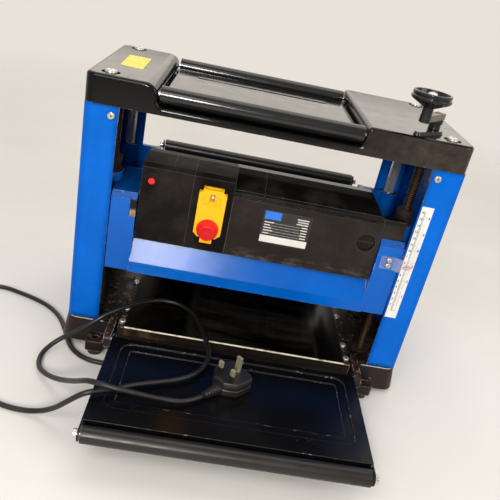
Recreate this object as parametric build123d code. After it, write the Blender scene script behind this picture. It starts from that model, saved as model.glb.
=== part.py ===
from build123d import *
import math
import os

# Bench planer thicknesser, in millimetres. X runs to the right, Y away from the operator, Z up.
# The origin is on the floor, at the centre of the four bench bolts.

# Whole machine
body_width = 510.0          # over the two side panels
panel_depth = 245.0         # side panel, front to back
panel_top = 371.0
panel_gauge = 2.0
panel_bend = 4.0
front_flange = 45.0
rear_flange = 48.0
running_gap = 0.05          # radial clearance of a shaft in its bearing
free_gap = 0.3              # gap between pieces that move past each other

# Base casting and bed
foot_height = 8.0
foot_radius = 11.0
pedestal_top = 45.0
base_overhang = 2.0         # base past the side panel
base_step = 2.5             # base past the panel's front and back
base_draft = 6.0            # how far the base widens towards its foot
base_wall = 7.0
base_corner = 16.0
bed_top = 60.0
bed_gauge = 2.0
bed_inset = 89.0            # polished sheet's side from the panel's outside
bed_block_inset = 79.0      # casting under it
bed_length = 306.0
bed_lip = 14.0
nose_bottom = 30.0
bed_rib = 5.0
bed_rib_place = 60.0
ear_inset = 48.0            # bench bolt from the panel's outside
ear_spacing_y = 280.0
ear_half = 14.0
ear_front = 12.5            # bolt axis to the ear's front
ear_corner = 6.0
ear_top = 25.0
bolt_hole = 4.25
bed_screw_y = (-136.0, -101.0, -18.0, 80.0)

# Folding tables
table_inset = 78.0          # table's side from the panel's outside
table_gauge = 2.0
table_lip = 9.0
hinge_y = 172.0
hinge_z = 50.0
hinge_pin_radius = 3.0
hinge_pin_end = 3.0         # pin past the inside of the table's side
lug_radius = 8.0
lug_gap = 2.5               # between the table's side and its lug
lug_width = 10.5
lug_foot = 12.0
table_reach = 190.0         # hinge axis to table roller axis
table_start = 7.0           # hinge axis to the sheet's near edge
table_end = 13.0            # sheet's far edge to roller axis
side_height = 18.0
recess_side = 17.0          # recess from the table's side
recess_length = 132.0
recess_corner = 16.0
recess_depth = 2.0
recess_inset = 13.0
inner_corner = 5.0
inner_depth = 1.5
recess_reach = 84.0         # hinge axis to the middle of the recess
table_roller_radius = 10.8
roller_wall = 2.0
roller_plug = 5.0
roller_side_gap = 2.0
axle_radius = 3.0
axle_head_radius = 5.5
axle_head = 6.0

# Top cover and return rollers
cover_top = 409.0
cover_overhang = 1.5
cover_wall = 4.0
cover_corner = 14.0
cover_round = 5.0
sunk_left = -163.0
sunk_right = 110.0
sunk_top = 381.0
sunk_gauge = 3.0
sunk_round = 9.0            # hollow of each step
left_shoulder = 17.0        # rounding of the top of each step
right_shoulder = 6.5
plateau_rise = 13.0         # raised middle between the return rollers
plateau_gap = 3.0           # its sides from the steps
plateau_reach = 94.0        # its front and back from the middle
plateau_round = 3.0
return_roller_radius = 11.4
return_roller_y = 112.0
return_roller_z = 395.3
return_roller_gap = 2.5
lug_drop = 21.0
lug_depth = 8.0
panel_screw_inset = 36.0    # from the panel's outside
panel_screw_z = 358.5
pan_radius = 5.0
pan_height = 3.2
pan_shank = 2.4
pan_length = 7.0

# Guide posts and lifting screws
post_inset = 27.0           # post axis from the panel's outside
post_y = 103.0
post_radius = 9.0
post_foot = 33.0
post_head = 395.0
post_boss = 15.0
post_fit = 0.02
post_thread = 4.0
post_thread_depth = 20.0
cover_bolt_head = 8.0
cover_bolt_height = 5.5
cover_bolt_recess = 12.0
cover_bolt_sink = 2.0
right_screw_inset = 49.0    # lifting screw's axis from the panel's outside
left_screw_inset = 37.0
screw_y = -80.0
screw_radius = 6.5
screw_foot = 14.0
screw_head = 400.0
screw_pitch = 2.0           # rise of the carriage for one turn of the crank
bush_radius = 10.0
bush_flange = 13.0
bush_flange_height = 2.5
top_bush_length = 22.0
screw_boss = 14.0
sprocket_radius = 14.0
sprocket_teeth = 12
sprocket_bottom = 22.0
sprocket_width = 6.0
chain_width = 4.0
chain_gauge = 1.8

# Crank
flange_gauge = 5.0
flange_round = 14.0
flange_tip = (-30.0, -34.0)  # from the screw's axis
flange_tip_radius = 6.0
flange_slope = 20.0
sleeve_radius = 8.0
sleeve_top = 423.0
collar_radius = 9.5
arm_bottom = 427.0
arm_gauge = 9.0
arm_width = 13.0
crank_reach = (-25.7, -31.0)  # knob's axis from the screw's axis
knob_radius = 26.5
knob_neck = 7.0
knob_neck_height = 9.0
knob_height = 29.2
knob_lip = 1.0             # lower ridge of the rim past the upper one
knob_ridge = 4.5
knob_groove = 1.2
knob_wall = 3.0
knob_dish = 7.0
spindle_radius = 4.0
spindle_head_radius = 6.5
spindle_head = 4.0
spindle_boss = 7.4

# Carriage casting
carriage_bottom = 136.0
beam_front = -122.5
beam_lip = 17.0
beam_slope_back = 16.0
beam_top = 187.0
beam_wall = 8.0
end_front = -119.5
end_inner_inset = 81.0      # carriage end, inside and outside, from the panel's outside
end_outer_inset = 46.0
end_top = 248.0
step_rise = 2.5             # ridges along the top of each end
step_depth = 2.0
step_count = 3
notch_width = 9.0           # left end's cut beside the switch box
notch_bottom = 222.0
end_wall = 12.0
side_wall = 8.0
side_back = 110.0
side_bottom = 138.0
side_dip = 232.0
wing_wall = 8.0
wing_bottom = 150.0
rear_boss_top = 256.0
nut_boss = 15.5
nut_boss_bottom = 232.0
nut_boss_top = 272.0
nut_radius = 10.5
nut_flange = 13.0
nut_flange_height = 4.0
nut_top = 294.0
nut_top_radius = 12.5
nut_collar = 9.0
deck_bottom = 190.0
deck_gauge = 6.0
deck_back = -10.0
rear_beam = (200.0, 232.0)
rear_beam_gauge = 8.0
cradle_x = (10.0, 110.0)
cradle_width = 18.0
guard_front = 255.0         # sloping guard over the belt, at its front and back
guard_back = 270.0
guard_depth = 61.0
guard_gauge = 4.5

# Motor, cutter head and feed
motor_y = -64.0
motor_z = 240.0
motor_radius = 42.0
motor_wall = 6.0
motor_left = -36.0
motor_inset = 117.0         # motor's right end from the panel's outside
armature_radius = 30.0
armature_gap = 10.0         # from the motor's end bells
shaft_radius = 6.0
cutter_y = 0.0
cutter_z = 163.0
cutter_radius = 24.0
journal_radius = 10.0
knife_width = 18.0
knife_gauge = 3.0
knife_proud = 0.8
cutter_bearing_radius = 17.5
belt_inset = 70.5           # belt from the panel's outside
belt_width = 7.0
pulley_rim = 0.75
motor_pulley_radius = 18.0
cutter_pulley_radius = 26.0
belt_gauge = 2.5
feed_y = 58.0
feed_z = 153.0
feed_radius = 16.0
feed_shaft = 8.0
feed_bush_radius = 12.0
feed_sprocket_radius = 12.0
sprocket_inset = 57.0       # feed chain from the panel's outside
feed_sprocket_width = 6.0
feed_drive_z = 192.0
gearbox_size = (13.0, 60.0, 66.0)
gearbox_bottom = 141.0
pawl_count = 14
pawl_end = 5.0              # end of the row of pawls from the bed's side
pawl_width = 7.0
pawl_y = -95.0
pawl_z = 168.0
pawl_hub = 7.0
pawl_tip_radius = 3.0
pawl_reach = 25.0
pawl_shaft_radius = 4.0
hood_gauge = 2.5
hood_rise = 36.0

# Motor cover, switch box and what is on them
cover_front = -116.0
cover_back = -13.0
shell_wall = 3.0
shell_inset = 83.0          # end of a cover from the panel's outside
shell_split = -44.0
shell_bottom = 188.0
groove_z = 277.0
groove_height = 6.0
groove_depth = 5.0
ridge_y = -62.0
ridge_z = 303.0
shoulder_rise = 22.0        # cover's back edge above the motor's axis
right_slope = 17.0
tail_inset = 51.0           # block beside the right-hand cover, from the panel's outside
tail_front = -112.0
tail_depth = 15.0
tail_top = 284.0
box_edge = 6.0
brush_inset = 102.0         # brush cap's axis from the panel's outside
brush_cap_z = 245.0
brush_cap_radius = 13.2
brush_recess = 6.0
brush_collar = 1.2
brush_slot = 2.2
brush_length = 16.0
reset_inset = 97.5          # reset button's axis from the panel's outside
reset_z = 279.5
reset_radius = 4.4
reset_ring_radius = 9.0
reset_ring = 4.5
reset_proud = 1.0
reset_travel = 2.0
switch_x = -72.0
switch_z = (215.0, 281.0)
switch_width = 38.5
hinge_width = 28.0          # narrow top of the switch
hinge_drop = 4.0
flap_top_cut = 7.0
flap_crown = 5.5            # front of the flap above its tray
flap_low_cut = 6.5
notch_half = 3.2            # notch at the top of the flap, between two ribs
notch_z = (270.0, 280.5)
rib_size = (5.5, 10.0)
rib_proud = 1.8
switch_frame_gauge = 4.0
switch_depth = 36.0
button_radius = 8.5
button_proud = 3.0
button_travel = 2.5
start_z = 260.0
stop_z = 231.0
flap_gauge = 2.5
flap_depth = 11.5
flap_pin_radius = 1.5
flap_pin_rise = 2.5         # pin above the flap's top edge
flap_pin_out = 4.5          # pin ahead of the frame
flap_knuckle = 2.5
flap_ear = 4.0
mushroom_z = 228.0
mushroom_radius = 15.8
mushroom_face = 10.4
mushroom_height = 14.0
mushroom_dish = 1.5
tab_width = 17.0
tab_drop = 8.0

# Depth scale and pointer
scale_gauge = 0.5           # printed strip on the right-hand panel, under the pointer
pointer_insets = (75.0, 29.0)  # pointer's ends from the panel's outside
pointer_z = (213.0, 233.0)
pointer_gauge = 1.8
pointer_gap = 0.8

# Mains cord and plug
cord_radius = 3.5
cord_lead = 26.0            # straight run of cord at the plug and at the gland
plug_x = -6.2
plug_y = -243.7
plug_turn = 46.0            # direction of the earth pin, degrees from X
plug_size = (46.0, 50.0)    # along and across the cord
plug_height = 22.0
plug_round = 9.0
pin_pitch = 22.2
pin_length = 17.7
earth_length = 22.7
pin_section = (4.0, 6.4)
earth_section = (8.0, 4.0)
relief_length = 24.0
relief_radius = 6.0
gland_inset = 26.0          # gland from the side of the bed's casting
gland_z = 38.0
gland_length = 34.0
gland_radius = 6.5
gland_flange = 7.5
gland_flange_height = 4.0

half_width = body_width / 2
bed_width = 2 * (half_width - bed_inset)
bed_block_width = 2 * (half_width - bed_block_inset)
ear_spacing_x = 2 * (half_width - ear_inset)
table_width = 2 * (half_width - table_inset)
recess_size = (table_width - 2 * recess_side, recess_length)
end_inner = half_width - end_inner_inset
end_outer = half_width - end_outer_inset
motor_right = half_width - motor_inset
cutter_length = bed_width
belt_x = half_width - belt_inset
feed_sprocket_x = half_width - sprocket_inset
pawl_pitch = (bed_width - 2 * pawl_end) / pawl_count
shell_left = shell_inset - half_width
shell_right = half_width - shell_inset
tail_right = half_width - tail_inset
brush_cap_x = half_width - brush_inset
reset_x = reset_inset - half_width
pointer_x = (half_width - pointer_insets[0], half_width - pointer_insets[1])
gland_x = gland_inset - bed_block_width / 2
half_depth = panel_depth / 2
base_half_width = half_width + base_overhang
base_half_depth = half_depth + base_step
bed_half = bed_width / 2
block_half = bed_block_width / 2
bed_screw_x = (bed_half + block_half) / 2
bed_end = bed_length / 2
bed_under = bed_top - bed_gauge
nose_end = bed_end - bed_gauge
table_half = table_width / 2
lug_inner = table_half + lug_gap
lug_outer = lug_inner + lug_width
cover_half_width = half_width + cover_overhang
post_x = half_width - post_inset
panel_screw_x = half_width - panel_screw_inset
screw_x = half_width - right_screw_inset
left_screw_shift = left_screw_inset - right_screw_inset
knob_x = screw_x + crank_reach[0]
knob_y = screw_y + crank_reach[1]
cover_half_depth = half_depth + cover_overhang
cover_ceiling = cover_top - cover_wall
shell_front_inner = cover_front + shell_wall
deck_top = deck_bottom + deck_gauge
side_outer = end_inner + side_wall
arm_top = arm_bottom + arm_gauge
knob_top = arm_top + free_gap + knob_height
shell_shoulder = motor_z + shoulder_rise
end_ridge = end_top + step_count * step_rise
switch_face = cover_front - switch_frame_gauge
flap_face = switch_face - free_gap - flap_depth
flap_pin_z = switch_z[1] + flap_pin_rise
flap_pin_y = switch_face - flap_pin_out
recess_floor = bed_top - recess_depth - inner_depth


def block(x, y, z):
    """Box between a low and a high limit on each axis."""
    size = (x[1] - x[0], y[1] - y[0], z[1] - z[0])
    return Pos((x[0] + x[1]) / 2, (y[0] + y[1]) / 2, (z[0] + z[1]) / 2) * Box(*size)


def rod_x(x, y, z, radius):
    """Cylinder along X between two limits."""
    return Pos((x[0] + x[1]) / 2, y, z) * Rot(0, 90, 0) * Cylinder(radius, x[1] - x[0])


def rod_y(x, y, z, radius):
    """Cylinder along Y between two limits."""
    return Pos(x, (y[0] + y[1]) / 2, z) * Rot(90, 0, 0) * Cylinder(radius, y[1] - y[0])


def rod_z(x, y, z, radius):
    """Cylinder along Z between two limits."""
    return Pos(x, y, (z[0] + z[1]) / 2) * Cylinder(radius, z[1] - z[0])


def prism_x(points, x):
    """Outline in Y and Z, drawn out along X between two limits."""
    outline = Plane.YZ.offset(x[0]) * Polygon(*points, align=None)
    return extrude(outline, amount=x[1] - x[0], dir=(1, 0, 0))


def prism_z(sketch, z):
    """Flat outline in X and Y, drawn up between two heights."""
    return extrude(Pos(0, 0, z[0]) * sketch, amount=z[1] - z[0], dir=(0, 0, 1))


def hull(*circles):
    """Outline of a band stretched round circles, each given as x, y, radius."""
    edges = []
    for x, y, radius in circles:
        edges += (Pos(x, y) * Circle(radius)).edges()
    return make_hull(edges)


def mirror_x(shape):
    return mirror(shape, about=Plane.YZ)


def mirror_y(shape):
    return mirror(shape, about=Plane.XZ)


def both_sides(shape):
    return [shape, mirror_x(shape)]


def left_screw(shape):
    """A piece of the right-hand lifting screw, set on the left-hand one, which stands nearer its panel."""
    return Pos(left_screw_shift, 0, 0) * mirror_x(shape)


def both_screws(shape):
    return [shape, left_screw(shape)]


def four_corners(shape):
    return both_sides(shape) + both_sides(mirror_y(shape))


def base_casting():
    """Open-bottomed casting: two pedestals, the bed between them, hinge lugs and bolt ears."""
    height = pedestal_top - foot_height
    foot = RectangleRounded(2 * (base_half_width + base_draft), 2 * (base_half_depth + base_draft),
                            base_corner + base_draft)
    slope = math.degrees(math.atan(base_draft / height))
    body = extrude(Pos(0, 0, foot_height) * foot, amount=height, taper=slope)
    inside_x = base_half_width - base_wall
    inside_y = base_half_depth - base_wall
    body -= block((-inside_x, inside_x), (-inside_y, inside_y), (foot_height, pedestal_top - base_wall))
    body += block((-block_half, block_half), (-nose_end, nose_end), (nose_bottom, bed_under))
    bed_inside = (block_half - base_wall, nose_end - base_wall, bed_under - base_wall)
    body -= block((-bed_inside[0], bed_inside[0]), (-bed_inside[1], bed_inside[1]),
                  (nose_bottom, bed_inside[2]))
    for x in (-bed_rib_place, bed_rib_place):
        body += block((x - bed_rib / 2, x + bed_rib / 2), (-bed_inside[1], bed_inside[1]),
                      (nose_bottom, bed_under - base_wall / 2))

    lug_tip = hinge_y + lug_radius
    lug_top = hinge_z + lug_radius
    lug = prism_x([(inside_y, lug_foot), (hinge_y - 3 * lug_radius, lug_foot),
                   (lug_tip, hinge_z - lug_radius), (lug_tip, lug_top), (inside_y, lug_top)],
                  (lug_inner, lug_outer))
    lug = fillet(lug.edges().filter_by(Axis.X).group_by(Axis.Y)[-1], lug_radius * 0.9)
    ear_x = ear_spacing_x / 2
    ear_y = ear_spacing_y / 2
    ear = block((ear_x - ear_half, ear_x + ear_half), (inside_y, ear_y + ear_front), (foot_height, ear_top))
    ear = fillet(ear.edges().filter_by(Axis.Z).group_by(Axis.Y)[-1], ear_corner)
    ear = fillet(ear.faces().filter_by(Axis.Z).group_by(Axis.Z)[-1].edges(), 1.5)
    ear += block((lug_inner, ear_x), (inside_y, ear_y - ear_half / 2), (foot_height, ear_top))
    post_seat = rod_z(post_x, post_y, (post_foot - 2, pedestal_top), post_boss)
    for arm in four_corners(lug) + four_corners(ear) + four_corners(post_seat):
        body += arm
    for boss in both_screws(rod_z(screw_x, screw_y, (nose_bottom + 2, pedestal_top), screw_boss)):
        body += boss
    body -= four_corners(rod_z(ear_x, ear_y, (foot_height, ear_top), bolt_hole))
    body -= four_corners(rod_z(post_x, post_y, (post_foot, pedestal_top), post_radius + post_fit))
    body -= both_screws(rod_z(screw_x, screw_y, (foot_height, pedestal_top), bush_radius))
    body -= four_corners(rod_x((lug_inner, lug_outer), hinge_y, hinge_z, hinge_pin_radius))
    return body


def rubber_feet():
    foot = rod_z(ear_spacing_x / 2, ear_spacing_y / 2, (0, foot_height), foot_radius)
    foot -= rod_z(ear_spacing_x / 2, ear_spacing_y / 2, (0, foot_height), bolt_hole)
    return four_corners(foot)


def bed_plate():
    """Polished sheet over the bed, with its front and back edges turned down."""
    low = bed_top - bed_lip
    outline = [(-bed_end, low), (-bed_end, bed_top), (bed_end, bed_top), (bed_end, low),
               (nose_end, low), (nose_end, bed_under), (-nose_end, bed_under), (-nose_end, low)]
    plate = prism_x(outline, (-bed_half, bed_half))
    return fillet(plate.edges().filter_by(Axis.X).group_by(Axis.Z)[-1], bed_gauge * 0.75)


def pan_head(x, y, z):
    """Screw head with a low dome, standing on the given point and facing up."""
    head = rod_z(0, 0, (0, pan_height), pan_radius)
    head = fillet(head.edges().group_by(Axis.Z)[-1], pan_height * 0.6)
    return Pos(x, y, z) * head


def bed_screws():
    return [pan_head(side * bed_screw_x, y, bed_under) for side in (-1, 1) for y in bed_screw_y]


def side_panel():
    """Right-hand sheet-steel channel: a side wall with a flange at front and back."""
    inner_front = half_width - front_flange
    inner_rear = half_width - rear_flange
    inside = half_width - panel_gauge
    back = half_depth - panel_gauge
    outline = Polygon((inner_front, -half_depth), (half_width, -half_depth), (half_width, half_depth),
                      (inner_rear, half_depth), (inner_rear, back), (inside, back),
                      (inside, -back), (inner_front, -back), align=None)
    panel = prism_z(outline, (pedestal_top, panel_top))
    bends = panel.edges().filter_by(Axis.Z).group_by(Axis.X)
    panel = fillet(bends[-1], panel_bend)
    inner_bends = panel.edges().filter_by(Axis.Z).filter_by_position(Axis.X, inside - 0.1, inside + 0.1)
    panel = fillet(inner_bends, panel_bend - panel_gauge)
    for y in (-half_depth, half_depth):
        panel -= rod_y(panel_screw_x, (y - panel_gauge * 1.5, y + panel_gauge * 1.5), panel_screw_z, pan_shank)
    return panel


def panel_screws():
    """Screws that hold the panels to the top cover's lugs."""
    screw = pan_head(0, 0, 0) + rod_z(0, 0, (-pan_length, 0), pan_shank)
    front = Pos(panel_screw_x, -half_depth, panel_screw_z) * Rot(90, 0, 0) * screw
    return four_corners(front)


def roller_hole(x, side, radius):
    """Cut for a return roller's axle in the wall at x."""
    return rod_x((x - cover_wall, x + cover_wall), side * return_roller_y, return_roller_z, radius)


def edge_along(shape, x, z):
    """Edges that run front to back at one place."""
    edges = shape.edges().filter_by(Axis.Y).filter_by_position(Axis.X, x - 0.1, x + 0.1)
    return edges.filter_by_position(Axis.Z, z - 0.1, z + 0.1)


def plateau(inset, bottom):
    """Raised middle of the top cover; the inset is its wall on the inside."""
    x = (sunk_left + plateau_gap + inset, sunk_right - plateau_gap - inset)
    y = (inset - plateau_reach, plateau_reach - inset)
    shape = block(x, y, (bottom, sunk_top + plateau_rise - inset))
    shape = fillet(shape.edges().filter_by(Axis.Z), plateau_round * 2)
    return fillet(shape.faces().filter_by(Axis.Z).group_by(Axis.Z)[-1].edges(), plateau_round)


def top_cover():
    """Hollow cast top: two raised ends with a sunken middle between them."""
    cover = block((-cover_half_width, cover_half_width), (-cover_half_depth, cover_half_depth),
                  (panel_top, cover_top))
    cover = fillet(cover.edges().filter_by(Axis.Z), cover_corner)
    cover -= block((sunk_left, sunk_right), (-cover_half_depth, cover_half_depth), (sunk_top, cover_top))
    shoulders = ((sunk_left, left_shoulder), (sunk_right, right_shoulder))
    for x, rounding in shoulders:
        cover = fillet(edge_along(cover, x, cover_top), rounding)
        cover = fillet(edge_along(cover, x, sunk_top), sunk_round)
    top_edges = cover.faces().filter_by(Axis.Z).group_by(Axis.Z)[-1].edges()
    outer = [edge for edge in top_edges if abs(edge.center().Y) > 1 or abs(edge.center().X) > cover_half_width - 1]
    cover = fillet(outer, cover_round)

    inside_x = cover_half_width - cover_wall
    inside_y = cover_half_depth - cover_wall
    inside_corner = cover_corner - cover_wall
    for x, rounding in shoulders:
        inner = x - math.copysign(cover_wall, -x)
        outer_x = math.copysign(inside_x, x)
        hollow = block((min(inner, outer_x), max(inner, outer_x)), (-inside_y, inside_y), (panel_top, cover_ceiling))
        corners = hollow.edges().filter_by(Axis.Z).filter_by_position(Axis.X, outer_x - 1, outer_x + 1)
        hollow = fillet(corners, inside_corner)
        cover -= fillet(edge_along(hollow, inner, cover_ceiling), rounding - cover_wall / 2)
    cover -= block((sunk_left - cover_wall, sunk_right + cover_wall), (-inside_y, inside_y),
                   (panel_top, sunk_top - sunk_gauge))
    cover += plateau(0, sunk_top)
    cover -= plateau(cover_wall, panel_top)

    lug = block((panel_screw_x - lug_depth, panel_screw_x + lug_depth),
                (half_depth - panel_gauge - lug_depth, half_depth - panel_gauge),
                (panel_top - lug_drop, cover_ceiling))
    for piece in four_corners(lug) + four_corners(rod_z(post_x, post_y, (panel_top, cover_ceiling), post_boss)):
        cover += piece
    for piece in both_screws(rod_z(screw_x, screw_y, (panel_top, cover_ceiling), post_boss)):
        cover += piece
    for side in (-1, 1):
        cover -= roller_hole(sunk_left - cover_wall / 2, side, axle_radius)
        cover -= roller_hole(sunk_right + cover_wall / 2, side, axle_radius)
    screw_way = rod_y(panel_screw_x, (half_depth - lug_depth * 2, half_depth), panel_screw_z, pan_shank)
    cover -= four_corners(screw_way)
    cover -= four_corners(rod_z(post_x, post_y, (panel_top, post_head), post_radius + post_fit))
    cover -= four_corners(rod_z(post_x, post_y, (post_head, cover_top), post_thread))
    cover -= four_corners(rod_z(post_x, post_y, (cover_top - cover_bolt_sink, cover_top), cover_bolt_recess))
    bush_seat = rod_z(screw_x, screw_y, (panel_top, panel_top + top_bush_length), bush_radius)
    cover -= both_screws(bush_seat)
    screw_way = rod_z(screw_x, screw_y, (panel_top, screw_head + free_gap), screw_radius + free_gap)
    cover -= both_screws(screw_way)
    cover -= rod_z(screw_x, screw_y, (panel_top, cover_top), screw_radius + free_gap)
    return cover


def cover_bolts():
    """Bolts down through the top cover into the heads of the posts."""
    seat = cover_top - cover_bolt_sink
    head = rod_z(post_x, post_y, (seat, seat + cover_bolt_height), cover_bolt_head)
    head = fillet(head.edges().group_by(Axis.Z)[-1], cover_bolt_height * 0.6)
    return four_corners(head + rod_z(post_x, post_y, (post_head - post_thread_depth, seat), post_thread))


def guide_posts():
    post = rod_z(post_x, post_y, (post_foot, post_head), post_radius)
    post -= rod_z(post_x, post_y, (post_head - post_thread_depth, post_head), post_thread)
    return four_corners(post)


def screw_bushes():
    """Plain bearings of the lifting screws, flanged in the base and plain in the top cover."""
    low = rod_z(screw_x, screw_y, (pedestal_top - base_wall, pedestal_top), bush_radius)
    low += rod_z(screw_x, screw_y, (pedestal_top, pedestal_top + bush_flange_height), bush_flange)
    high = rod_z(screw_x, screw_y, (panel_top, panel_top + top_bush_length), bush_radius)
    bore = rod_z(screw_x, screw_y, (0, cover_top), screw_radius + running_gap)
    return both_screws(low - bore) + both_screws(high - bore)


def lead_screw(top):
    return rod_z(screw_x, screw_y, (screw_foot, top), screw_radius)


def toothed_wheel(teeth, radius, width, bore):
    """Chain wheel lying flat, with a rounded gap between each pair of teeth."""
    wheel = Cylinder(radius, width)
    gap_radius = math.pi * radius / teeth / 2
    for tooth in range(teeth):
        angle = 2 * math.pi * tooth / teeth
        wheel -= Pos(radius * math.cos(angle), radius * math.sin(angle)) * Cylinder(gap_radius, width)
    return wheel - Cylinder(bore, width)


def lift_sprocket():
    wheel = toothed_wheel(sprocket_teeth, sprocket_radius, sprocket_width, screw_radius)
    return Pos(screw_x, screw_y, sprocket_bottom + sprocket_width / 2) * wheel


def lift_chain():
    """Endless chain that makes both lifting screws turn together."""
    inner = sprocket_radius + free_gap
    span = 2 * screw_x - left_screw_shift
    loop = SlotCenterToCenter(span, 2 * (inner + chain_gauge)) - SlotCenterToCenter(span, 2 * inner)
    middle = sprocket_bottom + sprocket_width / 2
    return prism_z(Pos(left_screw_shift / 2, screw_y) * loop, (middle - chain_width / 2, middle + chain_width / 2))


def crank_flange():
    """Sloping one-lobed plate round the crank's shaft."""
    tip = (screw_x + flange_tip[0], screw_y + flange_tip[1])
    outline = hull((screw_x, screw_y, flange_round), (*tip, flange_tip_radius))
    plate = extrude(Pos(0, 0, cover_top) * outline, amount=flange_gauge, dir=(0, 0, 1), taper=flange_slope)
    return plate - rod_z(screw_x, screw_y, (cover_top, arm_top), screw_radius + free_gap)


def crank_sleeve():
    sleeve = rod_z(screw_x, screw_y, (cover_top + flange_gauge + free_gap, sleeve_top), sleeve_radius)
    sleeve += rod_z(screw_x, screw_y, (sleeve_top, arm_bottom), collar_radius)
    return sleeve - rod_z(screw_x, screw_y, (cover_top, arm_bottom), screw_radius)


def crank_arm():
    """Flat bar from the screw to the knob's boss."""
    reach = math.hypot(*crank_reach)
    bar = block((-arm_width, reach), (-arm_width / 2, arm_width / 2), (arm_bottom, arm_top))
    bar = fillet(bar.edges().filter_by(Axis.Z), 2)
    bar = fillet(bar.faces().filter_by(Axis.Z).edges(), 1)
    turn = math.degrees(math.atan2(crank_reach[1], crank_reach[0]))
    arm = Pos(screw_x, screw_y, 0) * Rot(0, 0, turn) * bar
    arm -= rod_z(screw_x, screw_y, (arm_bottom, arm_top), screw_radius)
    return arm - rod_z(knob_x, knob_y, (arm_bottom, arm_top), spindle_boss)


def knob_floor():
    return knob_top - knob_dish


def crank_knob():
    """Turned knob with a conical underside, two ridges round its rim and a dished top."""
    bore = spindle_radius + running_gap
    low = arm_top + free_gap
    neck_top = low + knob_neck_height
    upper = knob_radius - knob_lip
    ridge_low = knob_top - 2 * knob_ridge - knob_groove
    groove_low = ridge_low + knob_ridge
    groove_top = groove_low + knob_groove
    inner = upper - knob_wall
    outline = [(bore, low), (knob_neck, low), (knob_neck, neck_top), (knob_radius - 2, ridge_low - 1),
               (knob_radius, ridge_low + 1), (knob_radius, groove_low - 1), (knob_radius - 1, groove_low),
               (upper - 1, groove_low), (upper - 1, groove_top), (upper, groove_top + 1), (upper, knob_top - 1),
               (upper - 1, knob_top), (inner, knob_top), (inner - 2, knob_floor()), (bore, knob_floor())]
    profile = Plane.XZ * Polygon(*outline, align=None)
    return Pos(knob_x, knob_y, 0) * revolve(profile, Axis.Z)


def knob_spindle():
    """Bolt that the knob turns on, with the boss that joins it to the arm."""
    seat = knob_floor() + free_gap
    head = rod_z(knob_x, knob_y, (seat, seat + spindle_head), spindle_head_radius)
    head = fillet(head.edges().group_by(Axis.Z)[-1], spindle_head * 0.7)
    boss = rod_z(knob_x, knob_y, (arm_bottom - 1, arm_top), spindle_boss)
    boss = fillet(boss.edges().group_by(Axis.Z)[0], 1)
    return head + boss + rod_z(knob_x, knob_y, (arm_bottom, seat), spindle_radius)


def folding_table():
    """Front table, level: a pressed sheet with two sides, turned-down ends and a stepped recess."""
    roller_y = -hinge_y - table_reach
    near = -hinge_y - table_start
    far = roller_y + table_end
    under = bed_top - table_gauge
    table = block((-table_half, table_half), (far, near), (under, bed_top))
    side = SlotCenterToCenter(table_reach, side_height)
    side = extrude(Plane.YZ.offset(table_half - table_gauge) * Pos((roller_y - hinge_y) / 2, hinge_z) * side,
                   amount=table_gauge)
    for plate in both_sides(side):
        table += plate
    inner = table_half - table_gauge
    for y in ((far, far + table_gauge), (near - table_gauge, near)):
        table += block((-inner, inner), y, (bed_top - table_lip, bed_top))
    centre = Pos(0, -hinge_y - recess_reach)
    outer = centre * RectangleRounded(*recess_size, recess_corner)
    pad = centre * RectangleRounded(recess_size[0] + 2 * table_gauge, recess_size[1] + 2 * table_gauge,
                                    recess_corner + table_gauge)
    inner_size = (recess_size[0] - 2 * recess_inset, recess_size[1] - 2 * recess_inset)
    inset = centre * RectangleRounded(*inner_size, inner_corner)
    inner_pad = centre * RectangleRounded(inner_size[0] + 2 * table_gauge, inner_size[1] + 2 * table_gauge,
                                          inner_corner + table_gauge)
    step = bed_top - recess_depth
    table += prism_z(pad, (step - table_gauge, under))
    table += prism_z(inner_pad, (recess_floor - table_gauge, step - table_gauge))
    table -= prism_z(outer, (step, bed_top))
    table -= prism_z(inset, (recess_floor, step))
    table -= rod_x((-table_half, table_half), -hinge_y, hinge_z, hinge_pin_radius + running_gap)
    table -= rod_x((-table_half, table_half), roller_y, hinge_z, axle_radius)
    return table


def long_roller(x, y, z, radius, bore):
    """Tube closed by a plug at each end, with a through bore for its axle."""
    roller = rod_x(x, y, z, radius)
    roller -= rod_x((x[0] + roller_plug, x[1] - roller_plug), y, z, radius - roller_wall)
    return roller - rod_x(x, y, z, bore)


def table_roller():
    end = table_half - table_gauge - roller_side_gap
    return long_roller((-end, end), -hinge_y - table_reach, hinge_z, table_roller_radius,
                       axle_radius + running_gap)


def table_axle():
    y = -hinge_y - table_reach
    axle = rod_x((-table_half - axle_head, table_half + axle_head), y, hinge_z, axle_radius)
    for head in both_sides(rod_x((table_half, table_half + axle_head), y, hinge_z, axle_head_radius)):
        axle += fillet(head.edges().filter_by(GeomType.CIRCLE), 1)
    return axle


def folded(shape):
    """A front table piece as it stands on the rear table, folded up."""
    hinge = Axis((0, hinge_y, hinge_z), (1, 0, 0))
    return mirror_y(shape).rotate(hinge, 90)


def hinge_pins():
    inner = table_half - table_gauge - hinge_pin_end
    return four_corners(rod_x((inner, lug_outer), hinge_y, hinge_z, hinge_pin_radius))


def return_roller(side):
    x = (sunk_left + return_roller_gap, sunk_right - return_roller_gap)
    return long_roller(x, side * return_roller_y, return_roller_z, return_roller_radius,
                       axle_radius + running_gap)


def return_axles():
    x = (sunk_left - cover_wall, sunk_right + cover_wall)
    return [rod_x(x, side * return_roller_y, return_roller_z, axle_radius) for side in (-1, 1)]


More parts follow.
